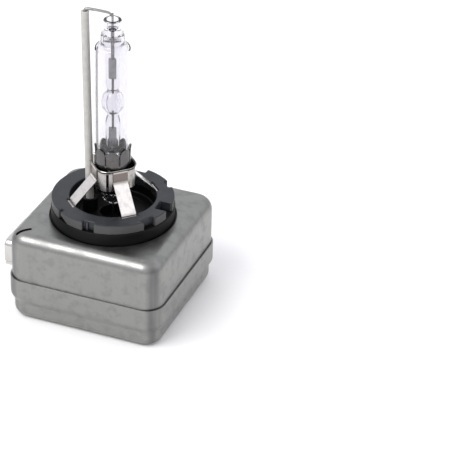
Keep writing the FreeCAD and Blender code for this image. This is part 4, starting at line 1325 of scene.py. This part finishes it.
@dataclass(frozen=True)
class Cap:
    """The moulded base, its notched ring and the strap anchors, in millimetres."""

    flange: float = 19.2
    flange_low: float = 22.6
    under_top: float = 24.8
    neck: float = 16.2
    ring_low: float = 28.45
    ring_top: float = 30.95
    ring: float = 16.0
    cavity: float = 11.3
    floor: float = 26.0
    well: float = 3.4
    well_floor: float = 23.4
    pocket_reach: float = 12.0
    pocket_half: float = 2.25
    hole_reach: float = 6.1
    hole_angle: float = -168.0
    hole_radius: float = 1.35
    socket: float = 2.0
    socket_top: float = 29.6
    notches: tuple[tuple[float, float, float], ...] = (
        (-125.0, 0.9, 1.3), (-90.0, 3.2, 1.2), (-30.0, 3.4, 1.4), (0.0, 4.1, 3.5),
        (44.5, 3.3, 1.2), (86.5, 4.4, 1.9))
    boss_angles: tuple[float, ...] = (60.0, 180.0, 300.0)
    boss_reach: float = 14.5

    def base(self) -> bpy.types.Object:
        """The base under the ring, with the well under the lamp and a hole for the sleeve."""
        profile = [(self.flange, self.flange_low), (self.flange, 23.8),
                   (17.4, self.under_top), (self.neck, self.under_top)]
        profile += [(self.neck, z) for z in (26.0, 27.5)]
        profile += arc((self.neck - 0.25, self.ring_low - 0.25), 0.25, 0, 90, 4)
        profile += [(self.cavity, self.ring_low), (self.cavity, self.floor + 0.5)]
        profile += arc((self.cavity - 0.5, self.floor + 0.5), 0.5, 0, -90, 5)
        profile += [(9.55, self.floor), (9.4, self.floor + 0.22), (8.95, self.floor + 0.22),
                    (8.8, self.floor), (self.well + 0.35, self.floor)]
        profile += arc((self.well + 0.35, self.floor - 0.35), 0.35, 90, 180, 4)
        profile += [(self.well, self.well_floor), (1.7, self.well_floor), (1.7, 19.0),
                    (4.2, 19.0), (4.2, self.flange_low)]
        skin = Skin()
        skin.lathe(profile, 160)
        piece = skin.build("base")
        weld(piece, self._post("socket", self.socket, self.floor - 0.1, self.socket_top))
        cut(piece, self._post("hole_tool", self.hole_radius, 20.0, self.socket_top + 1))
        return settle(piece, "black_plastic", BLACK_PLASTIC, "cap_base")

    def _post(self, name: str, radius: float, low: float, high: float) -> bpy.types.Object:
        """A round post where the sleeve stands.

        Args:
            name: Its name.
            radius: Its radius.
            low: Where it starts.
            high: Where it stops.

        Returns:
            The post.
        """
        skin = Skin()
        skin.lathe([(0, low), (radius, low), (radius, high), (0, high)], 40, loop=False)
        skin.moved(Matrix.Translation((self.hole_reach, 0, 0))).turned(self.hole_angle)
        return skin.build(name)

    def _edge(self, radius: float, cuts: Sequence[tuple[float, float, float]],
              rounding: float) -> list[Pair]:
        """A circle with square notches.

        Args:
            radius: The circle's radius.
            cuts: Each notch's angle, width, and depth towards the axis.
            rounding: The radius of the notches' corners.

        Returns:
            The outline, counter-clockwise.
        """
        corners: list[tuple[float, float, float]] = []
        for k, (angle, width, depth) in enumerate(cuts):
            half = width / 2
            reach = math.sqrt(radius ** 2 - half ** 2)
            turn = Matrix.Rotation(math.radians(angle), 2)
            for x, y in ((reach, -half), (radius - depth, -half), (radius - depth, half),
                         (reach, half)):
                corners.append((*(turn @ Vector((x, y))), rounding))
            following = cuts[(k + 1) % len(cuts)]
            start = angle + math.degrees(math.asin(half / radius))
            stop = following[0] - math.degrees(math.asin(following[1] / 2 / radius))
            stop += 360 if stop < start else 0
            run = arc((0, 0), radius, start, stop, max(2, round((stop - start) / 2.5)))
            corners += [(x, y, 0.0) for x, y in run[1:-1]]
        return soften(corners)

    def ring_piece(self) -> bpy.types.Object:
        """The notched ring, with its lead-in, the rib in one notch and three small bosses."""
        outer = self._edge(self.ring, self.notches, 0.3)
        pockets = [(a - 360 if a > 180 else a, 2 * self.pocket_half,
                    self.cavity - self.pocket_reach) for a in STRAP_ANGLES]
        inner = self._edge(self.cavity, sorted(pockets), 0.2)
        skin = Skin()
        skin.slab(outer, [list(reversed(inner))], self.ring_low, self.ring_top, 0.15, 0.28)
        for angle in self.boss_angles:
            turn = math.radians(angle)
            seat = Vector((math.cos(turn), math.sin(turn), 0)) * self.boss_reach
            skin.dome(seat + Vector((0, 0, self.ring_top - 0.02)), Vector((0, 0, 1)), 0.6, 0.2)
        rib_turn = math.radians(-92.0)
        rib = [(14.9 * math.cos(rib_turn) + x, 14.9 * math.sin(rib_turn) + y)
               for x, y in arc((0, 0), 0.42, 0, 342, 19)]
        skin.slab(rib, [], self.ring_low + 0.05, self.ring_top - 0.35, 0.05, 0.15)
        piece = skin.build("ring")
        cut(piece, self._lead_in_tool(), self._ramp_tool())
        return settle(piece, "ring_plastic", RING_PLASTIC, "cap_ring")

    def _lead_in_tool(self) -> bpy.types.Object:
        """The cutter for the sloped lead-in under the rim beside the narrow notch."""
        low = self.ring_low - 0.5
        outline = [(-1.75, low), (2.3, low), (-1.2, self.ring_low + 1.35),
                   (-1.75, self.ring_low + 1.35)]
        piece = block("lead_in_tool", outline, self.ring - 1.2, self.ring + 1,
                      lambda y, z, x: (x, y, z))
        piece.data.transform(Matrix.Rotation(math.radians(-117.0), 4, "Z"))
        return piece

    def _ramp_tool(self) -> bpy.types.Object:
        """The cutter for the chamfer on one side of a notch's upper edge."""
        high = self.ring_top + 0.5
        outline = [(-2.9, high), (-2.4, self.ring_top - 0.02), (-1.6, self.ring_top - 0.85),
                   (-1.0, self.ring_top - 0.85), (-1.0, high)]
        piece = block("ramp_tool", outline, self.ring - 1.4, self.ring + 1,
                      lambda y, z, x: (x, y, z))
        piece.data.transform(Matrix.Rotation(math.radians(-30.0), 4, "Z"))
        return piece

    def anchors(self) -> None:
        """The four plates that the straps end on."""
        for number, angle in enumerate(STRAP_ANGLES, start=1):
            skin = Skin()
            outline = rounded_box(0.25, 2.15, 0.12, 3, 1, (11.65, 0.0))
            skin.slab(outline, [], self.floor, 30.6, 0.03, 0.12)
            skin.turned(angle)
            settle(skin.build(f"anchor_{number}"), "spring_steel", SPRING_STEEL,
                   f"strap_anchor_{number}")


# ---------------------------------------------------------------------------
# The clamp
# ---------------------------------------------------------------------------


@dataclass(frozen=True)
class Clamp:
    """The crown, the band round it and the four straps, in millimetres."""

    crown_radius: float = 4.79
    crown_wall: float = 0.2
    crown_low: float = 33.6
    crown_root: float = 41.8
    crown_top: float = 46.0
    fingers: int = 8
    hump: float = 1.8
    slot_half: float = 2.4
    band_half: float = 4.96
    band_corner: float = 2.65
    band_low: float = 35.0
    band_top: float = 41.0
    ear_reach: float = 6.75
    strap_half: float = 2.0
    strap_thick: float = 0.3
    strap_face: float = 5.28
    strap_top: float = 40.5
    strap_bend: float = 37.2
    strap_foot: Pair = (11.24, 28.9)
    strap_knee: float = 30.95

    def crown(self) -> bpy.types.Object:
        """The sleeve whose upper edge is split into rounded fingers."""
        sector = 180.0 / self.fingers
        inner = spread(-sector + self.slot_half, sector - self.slot_half, 14)
        columns = [-sector, *inner, sector]
        skin = Skin()
        base = [self._crown_row(columns, [z] * len(columns))
                for z in spread(self.crown_low, self.crown_root, 6)]
        rows = [skin.row(points) for points in base]
        for low, high in zip(rows, rows[1:]):
            skin.bridge(low, high, closed=False)
        last = rows[-1][1:-1]
        edge = sector - self.slot_half
        for share in spread(0, 1, 10)[1:]:
            heights = []
            for angle in inner:
                tip = self.crown_top - self.hump * (1 - math.sqrt(max(
                    0.0, 1 - (angle / edge) ** 2 * 0.96)))
                heights.append(self.crown_root + (tip - self.crown_root) * share)
            following = skin.row(self._crown_row(inner, heights))
            skin.bridge(last, following, closed=False)
            last = following
        piece = repeat_round(skin.turned(sector).build("crown"), self.fingers, CROWN_STEEL)
        wall = piece.modifiers.new("wall", "SOLIDIFY")
        wall.thickness = self.crown_wall * MM
        wall.offset = -1.0
        edge_cut = piece.modifiers.new("edge", "BEVEL")
        edge_cut.width = 0.05 * MM
        edge_cut.segments = 2
        edge_cut.limit_method = "ANGLE"
        edge_cut.angle_limit = math.radians(50)
        bake_modifiers(piece)
        return settle(piece, "crown_steel", CROWN_STEEL, "clamp_crown", angle=40)

    def _crown_row(self, angles: Sequence[float], heights: Sequence[float]) -> list[Vector]:
        """A row of the crown's sheet, with the dimple that presses each finger on the lamp.

        Args:
            angles: Angles from the finger's middle, in degrees.
            heights: The height at each.

        Returns:
            The row's points.
        """
        sector = 180.0 / self.fingers
        row = []
        for angle, z in zip(angles, heights):
            press = math.exp(-((angle / (sector * 0.42)) ** 2) - ((z - 42.9) / 0.75) ** 2)
            tip = soft_step(z, self.crown_top - 0.6, 1.6) * 0.1
            reach = self.crown_radius - 0.02 - 0.13 * press + tip - 0.08
            turn = math.radians(angle)
            row.append(Vector((reach * math.cos(turn), reach * math.sin(turn), z)))
        return row

    def band(self) -> bpy.types.Object:
        """The square band round the crown: a flared lip, a folded ear, a slit and curled ends."""
        h = self.band_half
        ear = []
        for along, side in ((5.45, -0.5), (self.ear_reach, -0.4), (self.ear_reach, 0.4),
                            (5.45, 0.5)):
            along_x, side_x = along / math.sqrt(2), side / math.sqrt(2)
            ear.append((along_x - side_x, along_x + side_x, 0.4))
        corners = [(-h - 0.75, h - 1.5, 0), (-h - 0.1, h - 1.95, 0.5), (-h, h - 2.9, 0.4),
                   (-h, -h, self.band_corner * 1.2), (h, -h, self.band_corner * 1.2),
                   (h, h - 2.4, 0.8), *ear, (h - 2.4, h, 0.8), (-h + 2.9, h, 0.4),
                   (-h + 1.95, h + 0.1, 0.5), (-h + 1.5, h + 0.75, 0)]
        turn = Matrix.Rotation(math.radians(45), 2)
        path = [tuple(turn @ Vector(p)) for p in soften(corners, 8)]
        low, high = self.band_low, self.band_top
        section = [(-0.15, low + 0.06), (-0.09, low), (0.09, low), (0.15, low + 0.06),
                   (0.15, high - 0.85), (0.11, high - 0.5), (-0.02, high - 0.25),
                   (-0.24, high - 0.06), (-0.42, high), (-0.5, high - 0.08),
                   (-0.47, high - 0.22), (-0.3, high - 0.34), (-0.18, high - 0.6),
                   (-0.15, high - 0.95)]
        skin = Skin()
        skin.sweep(path, section, up=Vector((0, 1, 0)))
        piece = skin.build("band")
        slit = block("slit_tool", [(4.2, -0.35), (8.0, -0.35), (8.0, 0.35), (4.2, 0.35)],
                     low - 1, high - 0.9)
        slit.data.transform(Matrix.Rotation(math.radians(-80), 4, "Z"))
        cut(piece, slit)
        return settle(piece, "spring_steel", SPRING_STEEL, "clamp_band", angle=30)

    def straps(self) -> None:
        """The four flat straps from the band down to the anchors."""
        (foot, foot_low), half = self.strap_foot, self.strap_thick / 2
        for number, angle in enumerate(STRAP_ANGLES, start=1):
            path = soften([(self.strap_face, self.strap_top, 0),
                           (self.strap_face, self.strap_top - 0.12, 0),
                           (self.strap_face, self.strap_bend, 0.7),
                           (foot, self.strap_knee, 0.7), (foot, foot_low + 0.12, 0),
                           (foot, foot_low, 0)], 6)
            skin = Skin()
            skin.sweep(path, rounded_box(half, self.strap_half, 0.08, 2),
                       thin=lambda share: (0.6, 0.96) if share in (0, 1) else (1.0, 1.0))
            skin.turned(angle)
            settle(skin.build(f"strap_{number}"), "spring_steel", HIGHLIGHT_STRAP_STEEL,
                   f"support_strap_{number}", angle=30)


# ---------------------------------------------------------------------------
# The lamp
# ---------------------------------------------------------------------------


@dataclass(frozen=True)
class Lamp:
    """The two quartz vessels and what is sealed in them, in millimetres."""

    radius: float = 4.55
    wall: float = 0.75
    low: float = 33.0
    shoulder: float = 73.2
    collar: float = 3.0
    collar_top: float = 77.5
    stub: float = 2.3
    stub_top: float = 81.3
    stem: float = 2.7
    stem_bore: float = 1.7
    pinch: float = 1.9
    arc_height: float = 58.45
    chamber: Pair = (2.95, 3.5)
    chamber_neck: float = 1.3
    void: Pair = (1.35, 2.9)
    arc_half: float = 2.1
    foils: tuple[Pair, Pair] = ((45.1, 51.4), (65.0, 71.0))
    foil_half: Pair = (0.7, 0.05)

    def outer(self) -> bpy.types.Object:
        """The outer vessel: a closed tube with a rounded shoulder and a fused collar."""
        r, inner, foot = self.radius, self.radius - self.wall, self.stem + 0.02
        neck = self.stub + 0.02
        profile = [(foot, self.low), (r - 0.75, self.low)]
        profile += arc((r - 0.75, self.low + 0.75), 0.75, -90, 0, 6)[1:]
        profile += [(r, z) for z in (45.0, 57.0, self.shoulder)]
        profile += arc((r - 1.15, self.shoulder), 1.15, 8, 74, 8)
        top = self.shoulder
        profile += [(3.32, top + 1.35), (3.08, top + 1.65), (self.collar, top + 2.1),
                    (self.collar + 0.06, top + 3.0), (self.collar, self.collar_top - 0.7)]
        profile += arc((self.collar - 0.35, self.collar_top - 0.35), 0.35, 10, 90, 4)
        profile += [(neck, self.collar_top), (neck, top + 1.3), (2.7, top + 1.0),
                    (3.1, top + 0.75)]
        profile += list(reversed(arc((inner - 0.8, self.shoulder - 0.1), 0.8, 0, 66, 6)))
        profile += [(inner, z) for z in (57.0, 45.0, 35.6)]
        profile += arc((inner - 0.7, 35.6), 0.7, 0, -80, 5)[1:]
        profile += [(foot, 34.6)]
        skin = Skin()
        skin.lathe(profile, 128, wobble=lambda turn, z: 0.004 * math.sin(2 * turn + z * 0.2)
                   - 0.004)
        return settle(skin.build("outer_vessel"), "quartz", QUARTZ, "outer_bulb", angle=50)

    def _oval(self, half: Pair, neck: float, steps: int) -> list[Pair]:
        """Half an oval about the arc's height, from bottom to top.

        Args:
            half: Half its width and half its height.
            neck: Its radius where it ends.
            steps: How many steps it has.

        Returns:
            Its radii and heights.
        """
        start = math.asin(neck / half[0])
        turns = [start + (math.pi - 2 * start) * k / steps for k in range(steps + 1)]
        return [(half[0] * math.sin(t), self.arc_height - half[1] * math.cos(t)) for t in turns]

    def inner(self) -> bpy.types.Object:
        """The arc tube: stems, pinched seals round the foils, and the arc chamber."""
        (f0, f1), (g0, g1) = self.foils
        profile = [(0, f0 - 1.5), (0.9, f0 - 1.6), (self.stem_bore, f0 - 2.6),
                   (self.stem_bore, 30.0)]
        profile += arc((2.2, 30.1), 0.5, 180, 360, 8)
        profile += [(self.stem, 36.0), (self.stem, f0 - 2.2), (2.5, f0 - 1.3), (2.1, f0 - 0.5),
                    (self.pinch, f0 + 0.4), (self.pinch * 0.97, f1), (self.pinch, f1 + 1.2),
                    (1.7, f1 + 2.4), (1.42, f1 + 3.4)]
        profile += self._oval(self.chamber, self.chamber_neck + 0.1, 26)[1:-1]
        profile += [(1.42, g0 - 3.0), (1.7, g0 - 2.2), (self.pinch, g0 - 1.2),
                    (self.pinch * 0.97, g0 + 1.0), (self.pinch, g1 + 0.4), (2.15, g1 + 1.7),
                    (self.stub, g1 + 2.8), (self.stub, self.stub_top - 0.6)]
        tip = self.stub_top
        profile += arc((1.85, tip - 0.45), 0.45, 0, 180, 8)
        profile += [(1.4, tip - 1.3), (1.1, tip - 2.3), (0.6, tip - 3.0), (0, tip - 3.2)]
        skin = Skin()
        skin.lathe(profile, 96, loop=False)
        void = Skin()
        void.lathe([(0, self.arc_height - self.void[1])] + self._oval(self.void, 0.3, 22)
                   + [(0, self.arc_height + self.void[1])], 72, loop=False)
        return settle(skin.build("arc_vessel", hollow=void), "quartz", QUARTZ, "arc_tube",
                      angle=50)

    def _rod(self, name: str, radius: float, low: float, high: float, slot: str,
             finish: Finish, node: str) -> bpy.types.Object:
        """A round rod on the lamp's axis, with rounded ends.

        Args:
            name: Its name.
            radius: Its radius.
            low: Where it starts.
            high: Where it stops.
            slot: The record's material slot.
            finish: Its finish.
            node: The CAD node that it stands for.

        Returns:
            The rod.
        """
        tip = radius * 0.8
        profile = [(0, low), (radius * 0.7, low + tip * 0.25), (radius, low + tip)]
        profile += [(radius, z) for z in spread(low + tip, high - tip, 4)[1:]]
        profile += [(radius * 0.7, high - tip * 0.25), (0, high)]
        skin = Skin()
        skin.lathe(profile, 20, loop=False)
        return settle(skin.build(name), slot, finish, node)

    def _foil(self, name: str, low: float, high: float) -> bpy.types.Object:
        """One sealing foil: thin, feathered at its sides, with a weld fold at each end.

        Args:
            name: Its name, which is also its CAD node.
            low: Where it starts.
            high: Where it stops.

        Returns:
            The foil.
        """
        half, thick = self.foil_half
        skin = Skin()
        rows = []
        for z in spread(low, high, 16):
            end = min(z - low, high - z)
            wide = half * (1.0 if end > 0.25 else 0.82 + 0.72 * end)
            fold = 0.05 * math.sin((z - low) * 9) if end < 0.9 else 0.0
            rows.append([(x * wide, fold + y * thick, z) for x, y in (
                (1, 0), (0.6, 0.8), (0.2, 1), (-0.2, 1), (-0.6, 0.8), (-1, 0), (-0.6, -0.8),
                (-0.2, -1), (0.2, -1), (0.6, -0.8))])
        skin.loft(rows, ends=True)
        return settle(skin.build(name), "molybdenum", MOLYBDENUM, name)

    def inside(self) -> None:
        """Foils, electrodes and the leads on the axis."""
        (f0, f1), (g0, g1) = self.foils
        self._foil("foil_lower", f0, f1)
        self._foil("foil_upper", g0, g1)
        self._rod("point_lower", 0.2, f1 - 0.4, self.arc_height - self.arc_half, "tungsten",
                  TUNGSTEN, "electrode_lower")
        self._rod("point_upper", 0.2, self.arc_height + self.arc_half, g0 + 0.4, "tungsten",
                  TUNGSTEN, "electrode_upper")
        self._rod("wire_lower", 0.3, 16.0, f0 + 0.5, "lead_nickel", LEAD_NICKEL, "lead_lower")
        self._rod("wire_upper", 0.28, g1 - 0.5, self.stub_top + 1.6, "lead_nickel",
                  LEAD_NICKEL, "lead_upper")


@dataclass(frozen=True)
class ReturnLead:
    """The stiff wire back to the base and the ceramic tube over it, in millimetres."""

    angle: float = -168.0
    low_reach: float = 6.1
    high_reach: float = 7.0
    low: float = 24.9
    high: float = 82.8
    radius: float = 1.05
    bore: float = 0.5
    wire: float = 0.4
    wire_low: float = 19.5
    run_high: float = 83.46
    run_low: float = 82.75

    def _reach(self, z: float) -> float:
        """Distance of the centre line from the axis at a height."""
        share = (z - self.low) / (self.high - self.low)
        return self.low_reach + (self.high_reach - self.low_reach) * share

    def sleeve(self) -> bpy.types.Object:
        """The ceramic tube, softened at both ends."""
        lean = math.atan((self.high_reach - self.low_reach) / (self.high - self.low))
        length = (self.high - self.low) / math.cos(lean) - 0.06
        r, b, e = self.radius, self.bore, 0.22
        profile = [(b, 0.1), (b + 0.1, 0)] + arc((r - e, e), e, -90, 0, 4)
        profile += [(r, z) for z in spread(e, length - e, 14)[1:-1]]
        profile += arc((r - e, length - e), e, 0, 90, 4) + [(b + 0.1, length), (b, length - 0.1)]
        skin = Skin()
        skin.lathe(profile, 40, wobble=lambda turn, z: 0.008 * math.sin(z * 0.35) - 0.008)
        skin.moved(Matrix.Translation((self.low_reach, 0, self.low))
                   @ Matrix.Rotation(lean, 4, "Y")).turned(self.angle)
        return settle(skin.build("sleeve"), "sleeve_ceramic", SLEEVE_CERAMIC, "ceramic_sleeve")

    def lead(self) -> bpy.types.Object:
        """The wire: up the sleeve, round a tight bend and down a little to the tip."""
        path = soften([(self._reach(self.wire_low), self.wire_low, 0),
                       (self._reach(60.0), 60.0, 0), (self._reach(self.high - 2), self.high - 2, 0),
                       (self._reach(self.run_high), self.run_high, 0.9),
                       (4.0, self.run_high - 0.2, 0), (0.75, self.run_low + 0.1, 0.7),
                       (0.05, self.run_low - 0.8, 0)], 8)
        ring = arc((0, 0), self.wire, 0, 342, 19)
        skin = Skin()
        skin.sweep(path, ring, thin=lambda share: (
            1 - 0.3 * soft_step(share, 0.55, 0.2), 1.0))
        skin.turned(self.angle)
        return settle(skin.build("lead"), "lead_nickel", LEAD_NICKEL, "return_wire", angle=60)


# ---------------------------------------------------------------------------
# The igniter in the can
# ---------------------------------------------------------------------------


class Igniter:
    """The parts inside the can: windings with real turns, and the rest as packed."""

    FINISHES: dict[str, Finish] = {
        "igniter_tray": BLACK_PLASTIC, "circuit_board": BOARD_LAMINATE,
        "transformer_core": FERRITE, "transformer_spool": SPOOL_PLASTIC,
        "spark_gap_body": GAP_CERAMIC, "spark_gap_cap_a": GAP_METAL,
        "spark_gap_cap_b": GAP_METAL, "ignition_capacitor": CAPACITOR_CASE,
        "bleed_resistor": RESISTOR_COAT, "filter_choke": CHOKE_CASE,
        "high_voltage_terminal": TERMINAL_BRASS, "high_voltage_strip": TERMINAL_BRASS,
        "return_terminal": TERMINAL_BRASS}

    def windings(self) -> None:
        """The fine secondary and the thick primary over it."""
        for node, turns, wire in (("secondary_winding", 120, 0.11), ("primary_winding", 18, 0.2)):
            low, high = (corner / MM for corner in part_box(node))
            middle, size = (low + high) / 2, high - low
            piece = wind(node.replace("winding", "turns"), turns, size.x / 2, wire, size.y,
                         middle, WINDING_COPPER, sides=6)
            settle(piece, "winding_copper", WINDING_COPPER, node, angle=60)

    def dress(self) -> None:
        """Gives each part that stays as packed its finish."""
        for node, finish in self.FINISHES.items():
            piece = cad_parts[node]
            if not piece.material_slots:
                piece.data.materials.append(None)
            for place in piece.material_slots:
                place.material = finish.build()
            log.info("%-20s stays as packed, in %s", node, finish.name)


# ---------------------------------------------------------------------------
# Studio
# ---------------------------------------------------------------------------


@dataclass(frozen=True)
class Lamplight:
    """One soft light, placed by the direction it shines from, in metres and watts."""

    name: str
    azimuth: float
    elevation: float
    distance: float
    size: Pair
    power: float
    colour: tuple[float, float, float] = (1.0, 1.0, 1.0)


@dataclass(frozen=True)
class Studio:
    """Floor, lights and camera. A direction's azimuth is 0 towards -Y and 90 towards +X."""

    azimuth: float = 20.017
    elevation: float = 31.706
    roll: float = 1.983
    distance: float = 0.536292
    aim_right: float = 0.032599
    aim_up: float = 0.015738
    lens: float = 153.191
    lights: tuple[Lamplight, ...] = (
        Lamplight("key", -32.0, 53.0, 0.75, (0.5, 0.35), 3.2),
        Lamplight("side", 79.0, 49.0, 0.75, (0.3, 0.3), 0.12))

    @staticmethod
    def direction(azimuth: float, elevation: float) -> Vector:
        """The unit vector towards an azimuth and elevation, in degrees."""
        a, e = math.radians(azimuth), math.radians(elevation)
        return Vector((math.sin(a) * math.cos(e), -math.cos(a) * math.cos(e), math.sin(e)))

    def camera(self) -> None:
        """A long lens above and to the right of the can's front wall."""
        back = self.direction(self.azimuth, self.elevation)
        a, tilt = math.radians(self.azimuth), math.radians(self.roll)
        level = Vector((math.cos(a), math.sin(a), 0))
        plumb = back.cross(level)
        right = level * math.cos(tilt) + plumb * math.sin(tilt)
        up = plumb * math.cos(tilt) - level * math.sin(tilt)
        data = bpy.data.cameras.new("camera")
        data.sensor_width = 36.0
        data.lens = self.lens
        data.clip_start, data.clip_end = 0.02, 20.0
        camera = bpy.data.objects.new("camera", data)
        bpy.context.scene.collection.objects.link(camera)
        place = right * self.aim_right + up * self.aim_up + back * self.distance
        turn = Matrix((right, up, back)).transposed().to_4x4()
        camera.matrix_world = Matrix.Translation(place) @ turn
        bpy.context.scene.camera = camera

    def light(self) -> None:
        """Soft boxes over a pale room."""
        for box in self.lights:
            data = bpy.data.lights.new(box.name, "AREA")
            data.shape = "RECTANGLE"
            data.size, data.size_y = box.size
            data.energy = box.power
            data.color = box.colour
            lamp = bpy.data.objects.new(box.name, data)
            bpy.context.scene.collection.objects.link(lamp)
            way = self.direction(box.azimuth, box.elevation)
            lamp.location = way * box.distance + Vector((0, 0, 0.03))
            lamp.rotation_euler = way.to_track_quat("Z", "Y").to_euler()
        world = bpy.data.worlds.new("room")
        world.use_nodes = True
        graph = Graph(world.node_tree)
        place = graph.node("ShaderNodeTexCoord", output="Generated")
        height = graph.node("ShaderNodeSeparateXYZ", {}, {"Vector": place}, output="Z")
        sky = graph.node("ShaderNodeValToRGB", {"stops": (
            (0.0, (0.58, 0.58, 0.59, 1.0)), (0.4, (1.05, 1.05, 1.11, 1.0)),
            (0.7, (1.05, 1.05, 1.11, 1.0)), (0.95, (0.8, 0.8, 0.83, 1.0)))}, {"Fac": height})
        shade = graph.node("ShaderNodeBackground", {}, {"Color": sky, "Strength": 1.0})
        graph.node("ShaderNodeOutputWorld", {}, {"Surface": shade})
        bpy.context.scene.world = world

    def floor(self) -> None:
        """A wide pale floor."""
        skin = Skin()
        skin.slab(rounded_box(2500, 2500, 400, 12), [], -5.0, 0.0, 0.5, 0.5)
        floor = skin.build("floor")
        paper = Finish("paper", grey(0.95, 0.008), grey(0.93, 0.008), 0.0, 0.75, 0.85, grain_mm=0.6,
                       cloud_mm=60.0, relief_mm=0.005, specular=0.15)
        floor.data.materials.append(paper.build())

    def tone(self) -> None:
        """Plain colours, without a film look."""
        bpy.context.scene.view_settings.view_transform = "Standard"
        bpy.context.scene.view_settings.look = "None"


def main() -> None:
    """Builds the bulb part by part, then the room round it."""
    logging.basicConfig(level=logging.INFO, format="%(message)s")
    can, connector, cap, clamp, lamp = Can(), Connector(), Cap(), Clamp(), Lamp()
    can.front_shell()
    can.rear_shell()
    connector.shield()
    connector.insert()
    connector.pins()
    cap.base()
    cap.ring_piece()
    cap.anchors()
    clamp.crown()
    clamp.band()
    clamp.straps()
    lamp.outer()
    lamp.inner()
    lamp.inside()
    lead = ReturnLead()
    lead.sleeve()
    lead.lead()
    igniter = Igniter()
    igniter.windings()
    igniter.dress()
    studio = Studio()
    studio.floor()
    studio.light()
    studio.camera()
    studio.tone()


if __name__ == "__main__":
    main()
